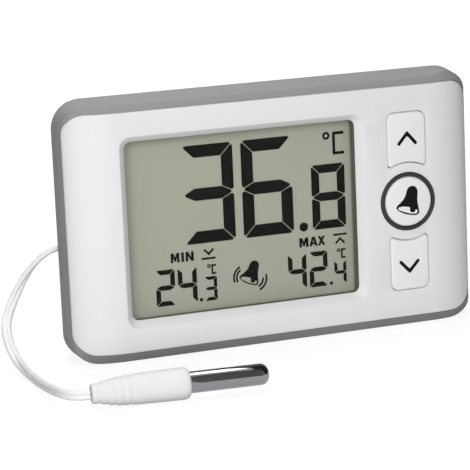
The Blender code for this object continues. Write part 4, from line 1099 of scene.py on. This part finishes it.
def dress_nodes(jacket):
    """Materials of the solids that keep their shape."""
    given = [
        (jacket, "lead_tail"),
        (display_ground(), "lcd_rear_glass"),
        (board_mask(), "circuit_board"),
        (cell_wrap(), "battery_cell"),
        # Acrylic sheet, cast and polished: clear, with a faint even gloss
        (clear("acrylic_window", "20221E", 0.03, 0.12), "display_window"),
        # Float glass with a matt front polariser: clear and hardly glossy
        (clear("display_glass_clear", "2A2C22", 0.03, 0.3), "lcd_front_glass"),
        # Nitrile foam, die cut: grey and dull with open cells
        (moulded("nitrile_foam", "77786E", "6A6B62", 0.8, 0.3, 0.5, 0.1), "display_gasket"),
        # ABS, moulded in black: even and dull, with a fine grain
        (
            moulded("black_abs", "242426", "1B1B1D", 0.5, 0.4, 0.15),
            "display_frame up_plunger alarm_plunger down_plunger buzzer",
        ),
        # Nylon switch case, moulded in grey: slightly mottled
        (moulded("grey_nylon", "8B8D8F", "7C7E80", 0.5, 0.4, 0.15), "up_switch alarm_switch down_switch"),
        # Epoxy, cast over a chip: black with a soft gloss
        (moulded("black_epoxy", "1C1C1F", "141416", 0.4, 0.2, 0.2), "controller_chip thermistor"),
        # Polyester film, metallised: silvery with faint brushed lines
        (metal("metallised_film", "C4C6BE", "AFB1A8", 0.35, 0.5, (1.0, 1.0, 8.0)), "lcd_reflector"),
        # Silicone connector of conductive and clear layers: fine dark stripes on pink
        (striped("layered_silicone", "D8A59B", "3A3434", 0.5, 0.55), "contact_strip"),
        # Steel, zinc plated: bluish grey with faint turning marks
        (
            metal("zinc_plated_steel", "B9BCC0", "9DA0A5", 0.3, 0.35, (1.0, 6.0, 1.0)),
            "case_screw_1 case_screw_2 case_screw_3 case_screw_4 board_screw_1 board_screw_2 "
            "battery_spring battery_contact quartz_crystal",
        ),
        # Polyester tie strip over a wire: black with a soft gloss
        (moulded("tie_strip", "2B2B2D", "202022", 0.4, 0.5, 0.2), "coil_tie"),
    ]
    for material, names in given:
        for name in names.split():
            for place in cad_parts[name].material_slots:
                place.material = material


def make_camera():
    """Camera at the photograph's angle."""
    data = bpy.data.cameras.new("camera")
    data.lens = CAMERA_LENS
    data.sensor_width = CAMERA_SENSOR
    camera = added("camera", data)
    aim = Vector(CAMERA_PLACE) + Vector(CAMERA_LOOK)
    camera.matrix_world = facing(CAMERA_PLACE, aim) @ Matrix.Rotation(radians(CAMERA_ROLL), 4, "Z")
    bpy.context.scene.camera = camera


def facing(place, aim):
    """Placement at a spot that looks at another."""
    away = Vector(place) - Vector(aim)
    return Matrix.Translation(place) @ away.to_track_quat("Z", "Y").to_matrix().to_4x4()


def card(name, place, aim, half, surface):
    """Flat card that faces a spot, out of the camera's sight."""
    shape = bmesh.new()
    bmesh.ops.create_grid(shape, size=1.0, matrix=facing(place, aim) @ Matrix.Diagonal((*half, 1.0, 1.0)))
    sheet = solid(shape, name, Matrix.Identity(4))
    sheet.data.materials.append(surface)
    sheet.visible_camera = False


def make_studio():
    """Pale floor, white surroundings, two soft lights and three felt cards."""
    shape = bmesh.new()
    bmesh.ops.create_circle(shape, cap_ends=True, segments=64, radius=6.0)
    floor = solid(shape, "studio_floor", Matrix.Identity(4))
    floor.data.materials.append(floor_paper())

    world = bpy.data.worlds.new("studio")
    bpy.context.scene.world = world
    world.use_nodes = True
    world.node_tree.nodes.clear()
    room = node(world, "Background", {"Color": "FFFFFF", "Strength": 0.5})[0]
    white = node(world, "Background", {"Color": "FFFFFF", "Strength": 1.0})[0]
    mix = node(world, "MixShader", {0: seen(world), 1: room, 2: white})[0]
    node(world, "OutputWorld", {"Surface": mix})

    middle = (0.0, 0.0, 0.03)
    for name, place, size, power in (
        ("front_light", (-0.44, -1.09, 0.27), 0.9, 13.8), ("top_light", (0.15, 0.42, 1.05), 0.7, 9.2),
    ):
        data = bpy.data.lights.new(name, "AREA")
        data.size = size
        data.energy = power
        added(name, data).matrix_world = facing(place, middle)

    # Pale felt, in shade: dull, with a faint nap
    pale = moulded("pale_felt", "DADADA", "D2D2D2", 0.9, 0.5, 0.3, 0.0)
    # Dark felt: swallows most of the light
    dark = moulded("dark_felt", "505050", "484848", 0.9, 0.5, 0.3, 0.0)
    # The steel mirrors the front card as a dark band; the side cards keep light off both ends
    card("front_card", (0.088, -0.405, 0.257), (0.011, -0.076, -0.04), (0.11, 0.345), pale)
    card("right_card", (0.2, -0.02, 0.28), (0.0, -0.02, 0.28), (0.33, 0.27), dark)
    card("left_card", (-0.32, 0.15, 0.25), middle, (0.3, 0.3), dark)
    bpy.context.scene.view_settings.view_transform = "Standard"


def main():
    make_camera()
    # ABS, moulded in white with a fine spark-eroded grain: satin, nearly even
    white = moulded("white_abs", "E9E9E9", "E4E4E4", 0.5, 0.3, 0.06, 0.06)
    # ABS of the keys: the same, a shade whiter
    bright = moulded("white_key_abs", "F1F1F1", "ECECEC", 0.5, 0.3, 0.06, 0.06)
    # ABS, moulded in mid grey: satin, with a fine grain
    grey = moulded("grey_abs", "989898", "939393", 0.55, 0.3, 0.1, 0.04)
    # Polycarbonate, moulded in dark grey: a soft sheen
    dark = moulded("dark_polycarbonate", "303133", "2A2B2D", 0.4, 0.3, 0.06, 0.3)
    # Thermoplastic rubber, moulded in white: soft and dull
    rubber = moulded("white_rubber", "E4E4E3", "DEDEDD", 0.55, 0.35, 0.1, 0.15)
    # Stainless steel, drawn and polished: mirror bright with hair lines along the tube
    steel = metal("polished_stainless_steel", "929294", "868688", 0.05, 0.25, (0.08, 1.0, 1.0))
    # Liquid crystal strokes: nearly black, a little uneven
    ink = moulded("lcd_stroke", "171716", "11110F", 0.7, 0.4, 0.0, 0.1)
    # Pad-printed ink: black and dull
    print_ink = moulded("pad_print_ink", "121213", "0C0C0D", 0.6, 0.3, 0.1, 0.1)
    # PVC, extruded in white: satin with slow shades
    jacket = moulded("white_pvc", "ECECEB", "E4E4E3", 0.45, 0.35, 0.08, 0.2)

    dress_nodes(jacket)
    boot, tube = make_probe(rubber, steel)
    grommet = make_grommet(rubber)
    make_cord(jacket)
    make_cover(white)
    make_housing(grey)
    make_keys(bright, dark)
    make_figures(ink)
    make_glyphs(print_ink)
    make_door(grey)
    make_stand(grey)
    make_studio()


main()
